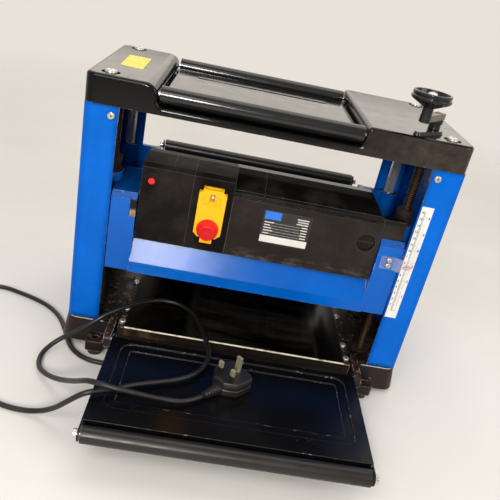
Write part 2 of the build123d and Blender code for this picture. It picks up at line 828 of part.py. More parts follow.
def depth_pointer():
    """Clear pointer: a foot on the carriage, stepped forward to pass over the scale."""
    front = -half_depth - scale_gauge - pointer_gap
    bend = (half_width - front_flange) - 5
    outline = Polygon((pointer_x[0], end_front), (pointer_x[0], end_front - pointer_gauge),
                      (bend - 5, end_front - pointer_gauge), (bend, front - pointer_gauge),
                      (pointer_x[1], front - pointer_gauge), (pointer_x[1], front), (bend + 1, front),
                      (bend - 4, end_front), align=None)
    return prism_z(outline, pointer_z)


def side_profile():
    """Outline of a carriage side wall: high at the front, dipped in the middle, high at the back."""
    front = end_front + end_wall / 2
    return [(front, side_bottom), (side_back, side_bottom), (side_back, rear_boss_top),
            (side_back - 26, rear_boss_top), (side_back - 50, side_dip), (motor_y + 16, side_dip),
            (motor_y + 6, end_top), (front, end_top)]


def end_profile():
    """Outline of an end block: a flat front with three ridges stepping up behind its top edge."""
    points = [(end_front, carriage_bottom), (end_front, end_top)]
    for step in range(1, step_count + 1):
        y = end_front + step * step_depth
        points += [(y, end_top + (step - 1) * step_rise), (y, end_top + step * step_rise)]
    return points + [(end_front + end_wall, end_ridge), (end_front + end_wall, carriage_bottom)]


def belt_guard():
    """Sloping plate over the belt at the left-hand end, with a cut beside the switch box below it."""
    front = end_front + step_count * step_depth
    back = front + guard_depth
    return prism_x([(front, guard_front - guard_gauge), (front, guard_front), (back, guard_back),
                    (back, guard_back - guard_gauge)], (-end_outer, -end_inner - 1))


def carriage_casting():
    """Blue casting that rides on the posts: front beam, ends, side walls, deck and rear beam."""
    slope_back = beam_front + beam_slope_back
    lip_top = carriage_bottom + beam_lip
    body = prism_x([(beam_front, carriage_bottom), (beam_front, lip_top), (slope_back, beam_top),
                    (slope_back, deck_bottom), (slope_back + beam_wall, deck_bottom),
                    (slope_back + beam_wall, beam_top - 2), (beam_front + beam_wall, lip_top - 2),
                    (beam_front + beam_wall, carriage_bottom)], (-end_inner - 1, end_inner + 1))
    body += block((-end_inner - 1, end_inner + 1), (slope_back, deck_back), (deck_bottom, deck_top))
    body += block((-end_inner - 1, end_inner + 1), (side_back - rear_beam_gauge, side_back), rear_beam)

    end = prism_x(end_profile(), (end_inner, end_outer))
    wing_y = (end_front + 2.5, end_front + end_wall)
    front_top = end_top - 8
    end += block((end_inner + 2, post_x), wing_y, (wing_bottom, front_top))
    end += rod_z(post_x, -post_y, (wing_bottom, front_top), post_boss)
    end += prism_x(side_profile(), (end_inner, side_outer))
    end += block((end_inner + 2, post_x), (post_y - wing_wall / 2, post_y + wing_wall / 2),
                 (wing_bottom, rear_boss_top))
    end += rod_z(post_x, post_y, (wing_bottom, rear_boss_top), post_boss)
    bracket = block((screw_x - nut_boss + 2, screw_x + nut_boss - 2), (wing_y[0] + 2, screw_y),
                    (nut_boss_bottom, end_top - 2))
    bracket += rod_z(screw_x, screw_y, (nut_boss_bottom, nut_boss_top), nut_boss)
    for piece in both_sides(end) + both_screws(bracket) + [belt_guard()]:
        body += piece
    body -= four_corners(rod_z(post_x, post_y, (carriage_bottom, nut_boss_top), post_radius + 2))
    body -= both_screws(rod_z(screw_x, screw_y, (carriage_bottom, nut_boss_top), nut_radius))
    body -= block((-end_inner - notch_width, -side_outer), (end_front - 1, end_front + end_wall - side_wall),
                  (notch_bottom, end_ridge))

    walls = (-side_outer, side_outer)
    for x in cradle_x:
        cradle = block((x - cradle_width / 2, x + cradle_width / 2), (motor_y - 28, motor_y + 28),
                       (deck_top, motor_z - motor_radius * 0.7))
        body += cradle - rod_x((x - cradle_width, x + cradle_width), motor_y, motor_z, motor_radius)
    body -= rod_x(walls, cutter_y, cutter_z, cutter_bearing_radius)
    for y in (-feed_y, feed_y):
        body -= rod_x(walls, y, feed_z, feed_bush_radius)
    body -= rod_x(walls, pawl_y, pawl_z, pawl_shaft_radius)
    body -= rod_x((-side_outer, 0), motor_y, motor_z, shaft_radius + free_gap)
    return body


def post_bushes():
    """Bronze sleeves pressed into the carriage's four bosses, running on the posts."""
    bore = post_radius + running_gap
    rear = rod_z(post_x, post_y, (wing_bottom, rear_boss_top), post_radius + 2)
    rear -= rod_z(post_x, post_y, (wing_bottom, rear_boss_top), bore)
    front = rod_z(post_x, -post_y, (wing_bottom, end_top - 8), post_radius + 2)
    front -= rod_z(post_x, -post_y, (wing_bottom, end_top - 8), bore)
    return both_sides(rear) + both_sides(front)


def lift_nuts():
    nut = rod_z(screw_x, screw_y, (nut_boss_bottom, nut_boss_top), nut_radius)
    nut += rod_z(screw_x, screw_y, (nut_boss_top, nut_boss_top + nut_flange_height), nut_flange)
    nut += rod_z(screw_x, screw_y, (nut_boss_top, nut_top), nut_radius)
    nut += rod_z(screw_x, screw_y, (nut_top - nut_collar, nut_top), nut_top_radius)
    return both_screws(nut - rod_z(screw_x, screw_y, (nut_boss_bottom, nut_top), screw_radius + running_gap))


def shell_outline(edge, inset):
    """Motor cover or switch box seen from the right; the inset is the wall on the inside."""
    front = cover_front + inset
    back = cover_back - inset
    top = ridge_z - inset
    low = shell_bottom if inset == 0 else shell_bottom - 1
    back_low = deck_top if inset == 0 else shell_bottom - 1
    points = [(front, low)] + [(y + inset, z - inset * 0.5) for y, z in edge]
    points += [(ridge_y, top), (ridge_y + 22, top - 3), (back - 8, shell_shoulder + 14), (back, shell_shoulder)]
    return points + [(back, back_low)]


def shell(edge, inner_edge, x, open_side):
    """Moulded cover, 3 mm thick, standing over the deck and closed at its outer end."""
    outer = prism_x(shell_outline(edge, 0), x)
    inner_x = (x[0] - 1, x[1] - shell_wall) if open_side == "left" else (x[0] + shell_wall, x[1] + 1)
    outer -= prism_x(shell_outline(inner_edge, shell_wall), inner_x)
    slope_back = beam_front + beam_slope_back
    outer -= block((x[0] - 1, x[1] + 1), (slope_back, 0), (shell_bottom - 1, deck_top))
    return outer


def motor_cover():
    """Right-hand cover: flat front, a groove along its top and a rounded back over the motor."""
    groove_top = groove_z + groove_height
    flat = cover_front
    sunk = cover_front + groove_depth
    edge = [(flat, groove_z), (sunk, groove_z), (sunk, groove_top), (flat + 4, groove_top + 4),
            (flat + 16, ridge_z - 8), (flat + 32, ridge_z - 2)]
    inner_edge = [(flat, groove_z - 6), (sunk, groove_z - 4), (sunk, groove_top + 2), (flat + 8, groove_top + 6),
                  (flat + 17, ridge_z - 9), (flat + 32, ridge_z - 3)]
    cover = shell(edge, inner_edge, (shell_split, shell_right), "left")
    slope = Plane.XZ * Polygon((shell_right - right_slope, ridge_z + 1), (shell_right + 1, ridge_z + 1),
                               (shell_right + 1, groove_top - 4), align=None)
    cover -= extrude(slope, amount=-cover_front + 10, both=True)
    seat_end = cover_front + brush_recess + brush_length / 2
    seat_radius = brush_cap_radius + free_gap
    cover += rod_y(brush_cap_x, (shell_front_inner - 1, seat_end), brush_cap_z, seat_radius + brush_collar)
    cover -= rod_y(brush_cap_x, (cover_front - 1, seat_end), brush_cap_z, seat_radius)
    tail = block((shell_right - 1, tail_right), (tail_front, tail_front + tail_depth), (end_ridge + free_gap, tail_top))
    return cover + fillet(tail.edges().filter_by(Axis.Y).group_by(Axis.X)[-1], 3)


def switch_box():
    """Left-hand cover with the switch and the reset button on its front."""
    edge = [(cover_front, ridge_z - box_edge), (cover_front + box_edge, ridge_z - 1)]
    box = shell(edge, edge, (shell_left, shell_split), "right")
    box -= rod_x((shell_left - 1, shell_left + shell_wall + 1), motor_y, motor_z, shaft_radius + 1)
    ring = rod_y(reset_x, (cover_front - reset_ring, cover_front), reset_z, reset_ring_radius)
    box += fillet(ring.edges().group_by(Axis.Y)[0], reset_ring * 0.4)
    box -= rod_y(reset_x, (cover_front - reset_ring, shell_front_inner + 1), reset_z, reset_radius + running_gap)
    box -= block((switch_x - switch_width / 2 + 3, switch_x + switch_width / 2 - 3),
                 (cover_front - 1, shell_front_inner + 1), (switch_z[0] + 5, switch_z[1] - 5))
    return box


def brush_cap():
    """Slotted screw cap over the motor's front brush."""
    face = cover_front + brush_recess
    cap = rod_y(brush_cap_x, (face, face + brush_length), brush_cap_z, brush_cap_radius)
    slot = block((brush_cap_x - brush_cap_radius, brush_cap_x + brush_cap_radius), (face, face + 1.5),
                 (brush_cap_z - brush_slot / 2, brush_cap_z + brush_slot / 2))
    return cap - slot


def reset_button():
    return rod_y(reset_x, (cover_front - reset_ring - reset_proud, shell_front_inner + 4), reset_z, reset_radius)


def switch_frame():
    """Yellow plate that holds the start and stop buttons, with the flap's pin across its top."""
    half = switch_width / 2
    frame_top = flap_pin_z + flap_knuckle
    neck = hinge_width / 2
    frame = block((switch_x - half, switch_x + half), (switch_face, cover_front), (switch_z[0], switch_z[1] - hinge_drop))
    frame += block((switch_x - neck, switch_x + neck), (switch_face, cover_front), (switch_z[0], frame_top))
    for z in (start_z, stop_z):
        frame -= rod_y(switch_x, (switch_face, cover_front), z, button_radius + running_gap)
    for x in ((switch_x - neck, switch_x - neck + flap_ear), (switch_x + neck - flap_ear, switch_x + neck)):
        frame += block(x, (flap_pin_y, switch_face), (flap_pin_z - flap_knuckle, frame_top))
        frame += rod_x(x, flap_pin_y, flap_pin_z, flap_knuckle)
    return frame + rod_x((switch_x - neck, switch_x + neck), flap_pin_y, flap_pin_z, flap_pin_radius)


def switch_body():
    """Closed contact block behind the frame."""
    half = switch_width / 2 - 3.5
    body = block((switch_x - half, switch_x + half), (cover_front, cover_front + switch_depth),
                 (switch_z[0] + 6, switch_z[1] - 6))
    for z in (start_z, stop_z):
        body -= rod_y(switch_x, (cover_front, cover_front + 8), z, button_radius + free_gap)
    return body


def push_button(z):
    return rod_y(switch_x, (switch_face - button_proud, cover_front + 8 - button_travel - 1), z, button_radius)


def switch_flap():
    """Yellow flap over the buttons: a shallow tray hung on the frame's pin, with a tab below."""
    half = switch_width / 2
    back = switch_face - free_gap
    tray = block((switch_x - half, switch_x + half), (flap_face, back), switch_z)
    tray = chamfer(tray.edges().filter_by(Axis.Y).group_by(Axis.Z)[0], flap_low_cut)
    crown_top = switch_z[1] + flap_crown
    crown = block((switch_x - half, switch_x + half), (flap_face, flap_face + flap_gauge),
                  (switch_z[1] - flap_crown, crown_top))
    tray += chamfer(crown.edges().filter_by(Axis.Y).group_by(Axis.Z)[-1], flap_top_cut)
    shoulder = Polygon((switch_x - half, crown_top - flap_top_cut), (switch_x - half, crown_top),
                       (switch_x - half + flap_top_cut, crown_top), align=None)
    for corner in (shoulder, shoulder.mirror(Plane.YZ.offset(switch_x))):
        tray -= extrude(Plane.XZ * corner, amount=-back, both=True)
    tray = fillet(tray.faces().group_by(Axis.Y)[0].edges(), 1.5)
    tray -= block((switch_x - half + flap_gauge, switch_x + half - flap_gauge), (flap_face + flap_gauge, back),
                  (switch_z[0] + flap_gauge, switch_z[1] - flap_gauge))
    rib_top = switch_z[1] - hinge_drop
    for x in (switch_x - notch_half - rib_size[0] - 2, switch_x + notch_half + 2):
        tray += block((x, x + rib_size[0]), (flap_face - rib_proud, flap_face + 1), (rib_top - rib_size[1], rib_top))
    tray -= block((switch_x - notch_half, switch_x + notch_half), (flap_face - 1, flap_face + flap_gauge + 1), notch_z)
    ear_outer = hinge_width / 2 - flap_ear - free_gap
    for x in ((switch_x - ear_outer, switch_x - ear_outer + flap_ear),
              (switch_x + ear_outer - flap_ear, switch_x + ear_outer)):
        ear = block(x, (flap_pin_y - flap_knuckle, flap_pin_y + flap_knuckle), (switch_z[1] - 1, flap_pin_z))
        tray += ear + rod_x(x, flap_pin_y, flap_pin_z, flap_knuckle)
    tray -= rod_x((switch_x - half, switch_x + half), flap_pin_y, flap_pin_z, flap_pin_radius + running_gap)
    tray += block((switch_x - tab_width / 2, switch_x + tab_width / 2), (flap_face + 1, flap_face + 1 + flap_gauge),
                  (switch_z[0] - tab_drop, switch_z[0] + 1))
    return tray


def stop_mushroom():
    """Red push head on the flap: a cone with a dished front."""
    front = flap_face - mushroom_height
    cone = Pos(switch_x, flap_face - mushroom_height / 2, mushroom_z) * Rot(90, 0, 0)
    head = cone * Cone(mushroom_radius, mushroom_face, mushroom_height)
    head = fillet(head.edges().group_by(Axis.Y)[0], 1.5)
    return head - rod_y(switch_x, (front, front + mushroom_dish), mushroom_z, mushroom_face - 3)


def motor_housing():
    """Motor can with a bell at each end that carries the armature's shaft."""
    can = rod_x((motor_left, motor_right), motor_y, motor_z, motor_radius)
    can -= rod_x((motor_left + motor_wall, motor_right - motor_wall), motor_y, motor_z, motor_radius - motor_wall)
    return can - rod_x((motor_left, motor_right), motor_y, motor_z, shaft_radius + running_gap)


def armature():
    x = (motor_left + motor_wall + armature_gap, motor_right - motor_wall - armature_gap)
    core = rod_x(x, motor_y, motor_z, armature_radius)
    return core + rod_x((-belt_x - belt_width - 2 * pulley_rim, motor_right), motor_y, motor_z, shaft_radius)


def pulley(y, z, radius, bore):
    """Belt pulley between two rims at the left-hand end."""
    x = (-belt_x - belt_width - pulley_rim, -belt_x + pulley_rim)
    wheel = rod_x(x, y, z, radius)
    for rim in (x[0], x[1] - pulley_rim):
        wheel += rod_x((rim, rim + pulley_rim), y, z, radius + belt_gauge)
    return wheel - rod_x(x, y, z, bore)


def drive_belt():
    """Belt from the motor to the cutter head."""
    def loop(extra):
        return hull((motor_y, motor_z, motor_pulley_radius + extra), (cutter_y, cutter_z, cutter_pulley_radius + extra))
    ring = loop(free_gap + belt_gauge) - loop(free_gap)
    return extrude(Plane.YZ.offset(-belt_x - belt_width + 0.5) * ring, amount=belt_width - 1, dir=(1, 0, 0))


def cutter_head():
    """Steel block with two knife slots and a journal at each end."""
    half = cutter_length / 2
    head = rod_x((-half, half), cutter_y, cutter_z, cutter_radius)
    head += rod_x((-belt_x - belt_width - pulley_rim, side_outer + gearbox_size[0]), cutter_y, cutter_z, journal_radius)
    for knife in cutter_knives(knife_gauge, half + 1):
        head -= knife
    return head


def cutter_knives(gauge, half):
    """Two straight knives set in slots on opposite sides of the cutter head."""
    knife = block((-half, half), (cutter_y - gauge / 2, cutter_y + gauge / 2),
                  (cutter_z + cutter_radius - knife_width, cutter_z + cutter_radius + knife_proud))
    return [knife.rotate(Axis((0, cutter_y, cutter_z), (1, 0, 0)), angle) for angle in (40, 220)]


def bearing(y, z, outer, inner):
    """A pair of bearings in the carriage's side walls."""
    ring = rod_x((end_inner, side_outer), y, z, outer)
    return both_sides(ring - rod_x((end_inner, side_outer), y, z, inner + running_gap))


def feed_bushes():
    return [ring for y in (-feed_y, feed_y) for ring in bearing(y, feed_z, feed_bush_radius, feed_shaft)]


def feed_roller(side):
    half = cutter_length / 2
    roller = rod_x((-half, half), side * feed_y, feed_z, feed_radius)
    roller += rod_x((-side_outer, feed_sprocket_x + feed_sprocket_width), side * feed_y, feed_z, feed_shaft)
    return roller + feed_wheel(side * feed_y, feed_z)


def feed_wheel(y, z):
    return rod_x((feed_sprocket_x, feed_sprocket_x + feed_sprocket_width), y, z, feed_sprocket_radius)


def feed_drive():
    """Output wheel of the gearbox."""
    return feed_wheel(cutter_y, feed_drive_z) + rod_x((side_outer + 4, feed_sprocket_x), cutter_y, feed_drive_z,
                                                      feed_shaft)


def feed_gearbox():
    """Closed reduction gearbox between the cutter head and the feed rollers."""
    box = block((side_outer, side_outer + gearbox_size[0]),
                (cutter_y - gearbox_size[1] / 2, cutter_y + gearbox_size[1] / 2),
                (gearbox_bottom, gearbox_bottom + gearbox_size[2]))
    box = fillet(box.edges().filter_by(Axis.X), 8)
    box -= rod_x((side_outer, side_outer + gearbox_size[0]), cutter_y, cutter_z, journal_radius + running_gap)
    return box - rod_x((side_outer + 4, side_outer + gearbox_size[0]), cutter_y, feed_drive_z,
                       feed_shaft + running_gap)


def feed_chain():
    """Chain round the gearbox wheel and the two feed wheels."""
    def loop(extra):
        radius = feed_sprocket_radius + extra
        return hull((-feed_y, feed_z, radius), (feed_y, feed_z, radius), (cutter_y, feed_drive_z, radius))
    ring = loop(free_gap + chain_gauge) - loop(free_gap)
    return extrude(Plane.YZ.offset(feed_sprocket_x + 1) * ring, amount=feed_sprocket_width - 2, dir=(1, 0, 0))


def pawl_shaft():
    return rod_x((-side_outer, side_outer), pawl_y, pawl_z, pawl_shaft_radius)


def kickback_pawls():
    """Row of fingers that hang on one shaft in front of the feed roller."""
    outline = hull((pawl_y, pawl_z, pawl_hub), (pawl_y + 4, pawl_z - pawl_reach, pawl_tip_radius))
    outline -= Pos(pawl_y, pawl_z) * Circle(pawl_shaft_radius + running_gap)
    first = -pawl_pitch * (pawl_count - 1) / 2
    return [extrude(Plane.YZ.offset(first + pawl_pitch * n - pawl_width / 2) * outline, amount=pawl_width)
            for n in range(pawl_count)]


def chip_hood():
    """Sheet that guides the chips from the cutter head out over the rear beam."""
    low = deck_top
    high = rear_beam[1]
    front = side_back - rear_beam_gauge - 5
    return prism_x([(deck_back - 2, low), (deck_back - 2, low + hood_gauge), (front, high + hood_gauge),
                    (side_back, high + hood_gauge), (side_back, high), (front + 1, high)],
                   (-end_inner + 1, end_inner - 1))


def plug_place():
    return Pos(plug_x, plug_y, recess_floor) * Rot(0, 0, plug_turn)


def mains_plug():
    """Three-pin plug lying on its back; its own X points from the cord to the earth pin."""
    body = prism_z(RectangleRounded(*plug_size, plug_round), (0, plug_height))
    body = fillet(body.edges().group_by(Axis.Z)[-1], 2)
    start = -plug_size[0] / 2
    height = cord_radius + relief_radius * 0.5
    relief = Pos(start - relief_length / 2 + 1, 0, height) * Rot(0, 90, 0)
    body += relief * Cone(cord_radius + 0.5, relief_radius, relief_length + 2)
    return plug_place() * body


def plug_pins():
    half = pin_pitch / 2
    pins = [block((-half - pin_section[0] / 2, -half + pin_section[0] / 2),
                  (y - pin_section[1] / 2, y + pin_section[1] / 2),
                  (plug_height, plug_height + pin_length)) for y in (-half, half)]
    pins.append(block((half - earth_section[1] / 2, half + earth_section[1] / 2),
                      (-earth_section[0] / 2, earth_section[0] / 2),
                      (plug_height, plug_height + earth_length)))
    return [plug_place() * pin for pin in pins]


def cord_gland():
    """Tapered strain relief in the back wall of the bed."""
    start = nose_end
    flange = rod_y(gland_x, (start, start + gland_flange_height), gland_z, gland_flange)
    cone = Pos(gland_x, start + gland_flange_height + gland_length / 2, gland_z) * Rot(-90, 0, 0)
    return flange + cone * Cone(gland_radius, cord_radius + 1, gland_length)


def relief_end():
    """Point where the cord enters the plug's strain relief, and a point straight out from it."""
    angle = math.radians(plug_turn)
    height = recess_floor + cord_radius + relief_radius * 0.5
    reach = plug_size[0] / 2 + relief_length
    return [(plug_x - (reach + extra) * math.cos(angle), plug_y - (reach + extra) * math.sin(angle), height)
            for extra in (0, cord_lead)]


def gland_end():
    """A point straight out from the gland, and the point where the cord enters it."""
    tip = nose_end + gland_flange_height + gland_length
    return [(gland_x, tip + cord_lead, gland_z), (gland_x, tip, gland_z)]


# Route of the mains cord from the plug to the gland: over the table, in a loop down to the floor and up
# across the bed, back over the table, out to the left, and under the base to the gland at the back.
cord_route = relief_end() + [
    (-94.4, -299.3, 65.1), (-123.3, -305.9, 73.6), (-152.8, -310.6, 80.5), (-181.3, -302.1, 79.0),
    (-199.4, -283.4, 58.6), (-215.1, -264.1, 40.3), (-232.7, -244.9, 23.6), (-253.1, -225.4, 11.1),
    (-272.8, -202.8, 4.0), (-278.2, -173.2, 5.0), (-261.5, -151.8, 16.5), (-236.4, -148.9, 34.1),
    (-213.1, -146.4, 54.2), (-190.0, -134.1, 69.7), (-169.2, -111.5, 70.7), (-149.5, -87.9, 66.9),
    (-125.4, -69.2, 64.3), (-95.2, -70.0, 63.8), (-71.7, -89.3, 64.1), (-59.1, -117.4, 64.3),
    (-48.7, -146.6, 64.4), (-39.1, -175.9, 64.2), (-38.1, -206.6, 64.0), (-49.6, -235.1, 63.6),
    (-73.3, -254.4, 62.9), (-101.9, -266.1, 62.4), (-129.9, -279.2, 63.2), (-154.3, -298.0, 65.6),
    (-181.7, -311.7, 69.0), (-204.7, -310.2, 46.7), (-222.8, -301.1, 23.4), (-247.4, -293.4, 7.0),
    (-277.8, -290.1, 3.5), (-307.4, -281.7, 3.5), (-333.5, -265.2, 3.6), (-355.0, -243.1, 3.6),
    (-372.1, -217.4, 3.5), (-385.5, -189.5, 3.5), (-397.1, -160.8, 3.5), (-409.0, -132.3, 3.5),
    (-421.4, -103.9, 3.5), (-431.2, -74.6, 3.5), (-434.5, -44.0, 3.5), (-417.8, -19.3, 3.5),
    (-388.1, -14.9, 3.5), (-358.6, -24.4, 3.5), (-329.6, -35.0, 3.5), (-302.6, -49.9, 3.5),
    (-280.8, -71.8, 3.5), (-265.1, -98.4, 3.5), (-253.0, -126.8, 3.5), (-237.2, -153.3, 3.5),
    (-211.5, -169.9, 3.5), (-181.0, -171.6, 3.5), (-153.5, -157.9, 3.5), (-133.0, -134.9, 3.5),
    (-119.4, -107.2, 3.5), (-109.9, -77.8, 3.5), (-102.4, -47.8, 3.5), (-96.3, -17.4, 3.5),
    (-90.8, 13.0, 3.6), (-85.6, 43.5, 3.6), (-80.0, 73.9, 3.6), (-73.4, 104.1, 3.5),
    (-66.6, 134.3, 3.5), (-61.3, 164.8, 3.5), (-59.3, 195.6, 3.5), (-62.3, 226.4, 4.2),
    (-73.5, 254.9, 6.6), (-97.1, 272.8, 13.3), (-125.6, 271.3, 23.2), (-144.7, 249.6, 32.7)] + gland_end()


def cord_radii(points):
    """Radius of the arc at each corner: as large as its two runs allow."""
    radii = []
    for before, here, after in zip(points, points[1:], points[2:]):
        run_in = Vector(*here) - Vector(*before)
        run_out = Vector(*after) - Vector(*here)
        turn = math.radians(run_in.get_angle(run_out))
        radii.append(0.45 * min(run_in.length, run_out.length) / math.tan(turn / 2))
    return radii


def mains_cord():
    radii = cord_radii(cord_route)
    path = FilletPolyline(*cord_route, radius=radii)
    section = Plane(path @ 0, z_dir=path % 0) * Circle(cord_radius)
    cord = sweep(section, path=path)
    expected = math.pi * cord_radius ** 2 * path.length
    print(f"cord: {len(cord_route)} points, {path.length:.0f} mm long, tightest arc {min(radii):.0f} mm, "
          f"volume {cord.volume / expected:.4f} of section times length")
    print("cord radii:", " ".join(f"{radius:.0f}" for radius in radii))
    return cord


def pan_screws():
    """Alike screws: in the panels' flanges and beside the bed plate."""
    return panel_screws() + bed_screws()


def lift_screw(top):
    """Lifting screw with its chain wheel pinned on near the lower end."""
    return lead_screw(top) + lift_sprocket()


def motor_armature():
    return armature() + pulley(motor_y, motor_z, motor_pulley_radius, shaft_radius)


def cutter_block():
    return cutter_head() + pulley(cutter_y, cutter_z, cutter_pulley_radius, journal_radius)


def knives():
    half = cutter_length / 2
    return cutter_knives(knife_gauge, half)


def carriage_bearings():
    return bearing(cutter_y, cutter_z, cutter_bearing_radius, journal_radius) + feed_bushes()


def switch_base():
    return switch_frame() + switch_body()


pieces = {
    "base_casting": base_casting(),
    "rubber_feet": rubber_feet(),
    "bed_plate": bed_plate(),
    "side_panel_left": mirror_x(side_panel()),
    "side_panel_right": side_panel(),
    "pan_screws": pan_screws(),
    "top_cover": top_cover(),
    "cover_bolts": cover_bolts(),
    "guide_posts": guide_posts(),
    "screw_bushes": screw_bushes(),
    "lead_screw_left": left_screw(lift_screw(screw_head)),
    "lead_screw_right": lift_screw(arm_top),
    "lift_chain": lift_chain(),
    "crank_flange": crank_flange(),
    "crank_sleeve": crank_sleeve(),
    "crank_arm": crank_arm(),
    "crank_knob": crank_knob(),
    "knob_spindle": knob_spindle(),
    "front_table": folding_table(),
    "front_table_roller": table_roller(),
    "front_table_axle": table_axle(),
    "rear_table": folded(folding_table()),
    "rear_table_roller": folded(table_roller()),
    "rear_table_axle": folded(table_axle()),
    "hinge_pins": hinge_pins(),
    "return_roller_front": return_roller(-1),
    "return_roller_rear": return_roller(1),
    "return_axles": return_axles(),
    "carriage_casting": carriage_casting(),
    "post_bushes": post_bushes(),
    "lift_nuts": lift_nuts(),
    "depth_pointer": depth_pointer(),
    "motor_cover": motor_cover(),
    "switch_box": switch_box(),
    "brush_cap": brush_cap(),
    "reset_button": reset_button(),
    "switch_base": switch_base(),
    "start_button": push_button(start_z),
    "stop_button": push_button(stop_z),
    "switch_flap": switch_flap(),
    "stop_mushroom": stop_mushroom(),
    "motor_housing": motor_housing(),
    "motor_armature": motor_armature(),
    "drive_belt": drive_belt(),
    "cutter_head": cutter_block(),
    "cutter_knives": knives(),
    "carriage_bearings": carriage_bearings(),
    "infeed_roller": feed_roller(-1),
    "outfeed_roller": feed_roller(1),
    "feed_drive": feed_drive(),
    "feed_gearbox": feed_gearbox(),
    "feed_chain": feed_chain(),
    "pawl_shaft": pawl_shaft(),
    "kickback_pawls": kickback_pawls(),
    "chip_hood": chip_hood(),
    "mains_plug": mains_plug(),
    "plug_pins": plug_pins(),
    "cord_gland": cord_gland(),
    "mains_cord": mains_cord(),
}

os.makedirs("parts", exist_ok=True)
for name, piece in pieces.items():
    shape = Compound(children=piece) if isinstance(piece, list) else piece
    export_step(shape, f"parts/{name}.step")
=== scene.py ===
import math

import bmesh
import bpy
from mathutils import Matrix, Vector


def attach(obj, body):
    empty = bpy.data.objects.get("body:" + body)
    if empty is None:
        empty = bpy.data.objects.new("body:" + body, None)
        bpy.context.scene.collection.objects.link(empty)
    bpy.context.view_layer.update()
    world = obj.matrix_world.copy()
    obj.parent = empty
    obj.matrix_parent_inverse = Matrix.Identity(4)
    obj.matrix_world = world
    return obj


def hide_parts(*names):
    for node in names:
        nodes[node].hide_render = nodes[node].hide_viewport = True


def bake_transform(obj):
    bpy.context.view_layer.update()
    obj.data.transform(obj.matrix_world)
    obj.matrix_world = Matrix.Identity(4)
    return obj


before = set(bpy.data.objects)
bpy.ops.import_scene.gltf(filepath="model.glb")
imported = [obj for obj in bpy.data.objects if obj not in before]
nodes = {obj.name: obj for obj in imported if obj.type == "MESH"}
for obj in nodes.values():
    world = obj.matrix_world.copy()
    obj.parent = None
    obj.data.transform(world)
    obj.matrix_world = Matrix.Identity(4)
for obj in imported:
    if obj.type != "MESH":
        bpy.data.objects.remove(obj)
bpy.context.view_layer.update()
MM = 0.001


def mm(*values):
    """Point or size given in millimetres."""
    return Vector(values) * MM


# Camera at the photograph's place, looking down at the machine's front from its left. Angles are in degrees.
FOCAL_PIXELS = 600.38
PICTURE_PIXELS = 500
SENSOR_WIDTH = 36.0
CAMERA_PLACE = mm(-72.84, -888.71, 576.52)
CAMERA_PAN = -4.9064
CAMERA_TILT = 25.7919
CAMERA_ROLL = 12.3909


def make_camera():
    data = bpy.data.cameras.new("camera")
    data.sensor_width = SENSOR_WIDTH
    data.lens = FOCAL_PIXELS / PICTURE_PIXELS * SENSOR_WIDTH
    camera = bpy.data.objects.new("camera", data)
    bpy.context.scene.collection.objects.link(camera)
    pan = Matrix.Rotation(math.radians(CAMERA_PAN), 4, "Z")
    tilt = Matrix.Rotation(math.radians(90 - CAMERA_TILT), 4, "X")
    roll = Matrix.Rotation(math.radians(CAMERA_ROLL), 4, "Z")
    camera.matrix_world = Matrix.Translation(CAMERA_PLACE) @ pan @ tilt @ roll
    bpy.context.scene.camera = camera


make_camera()


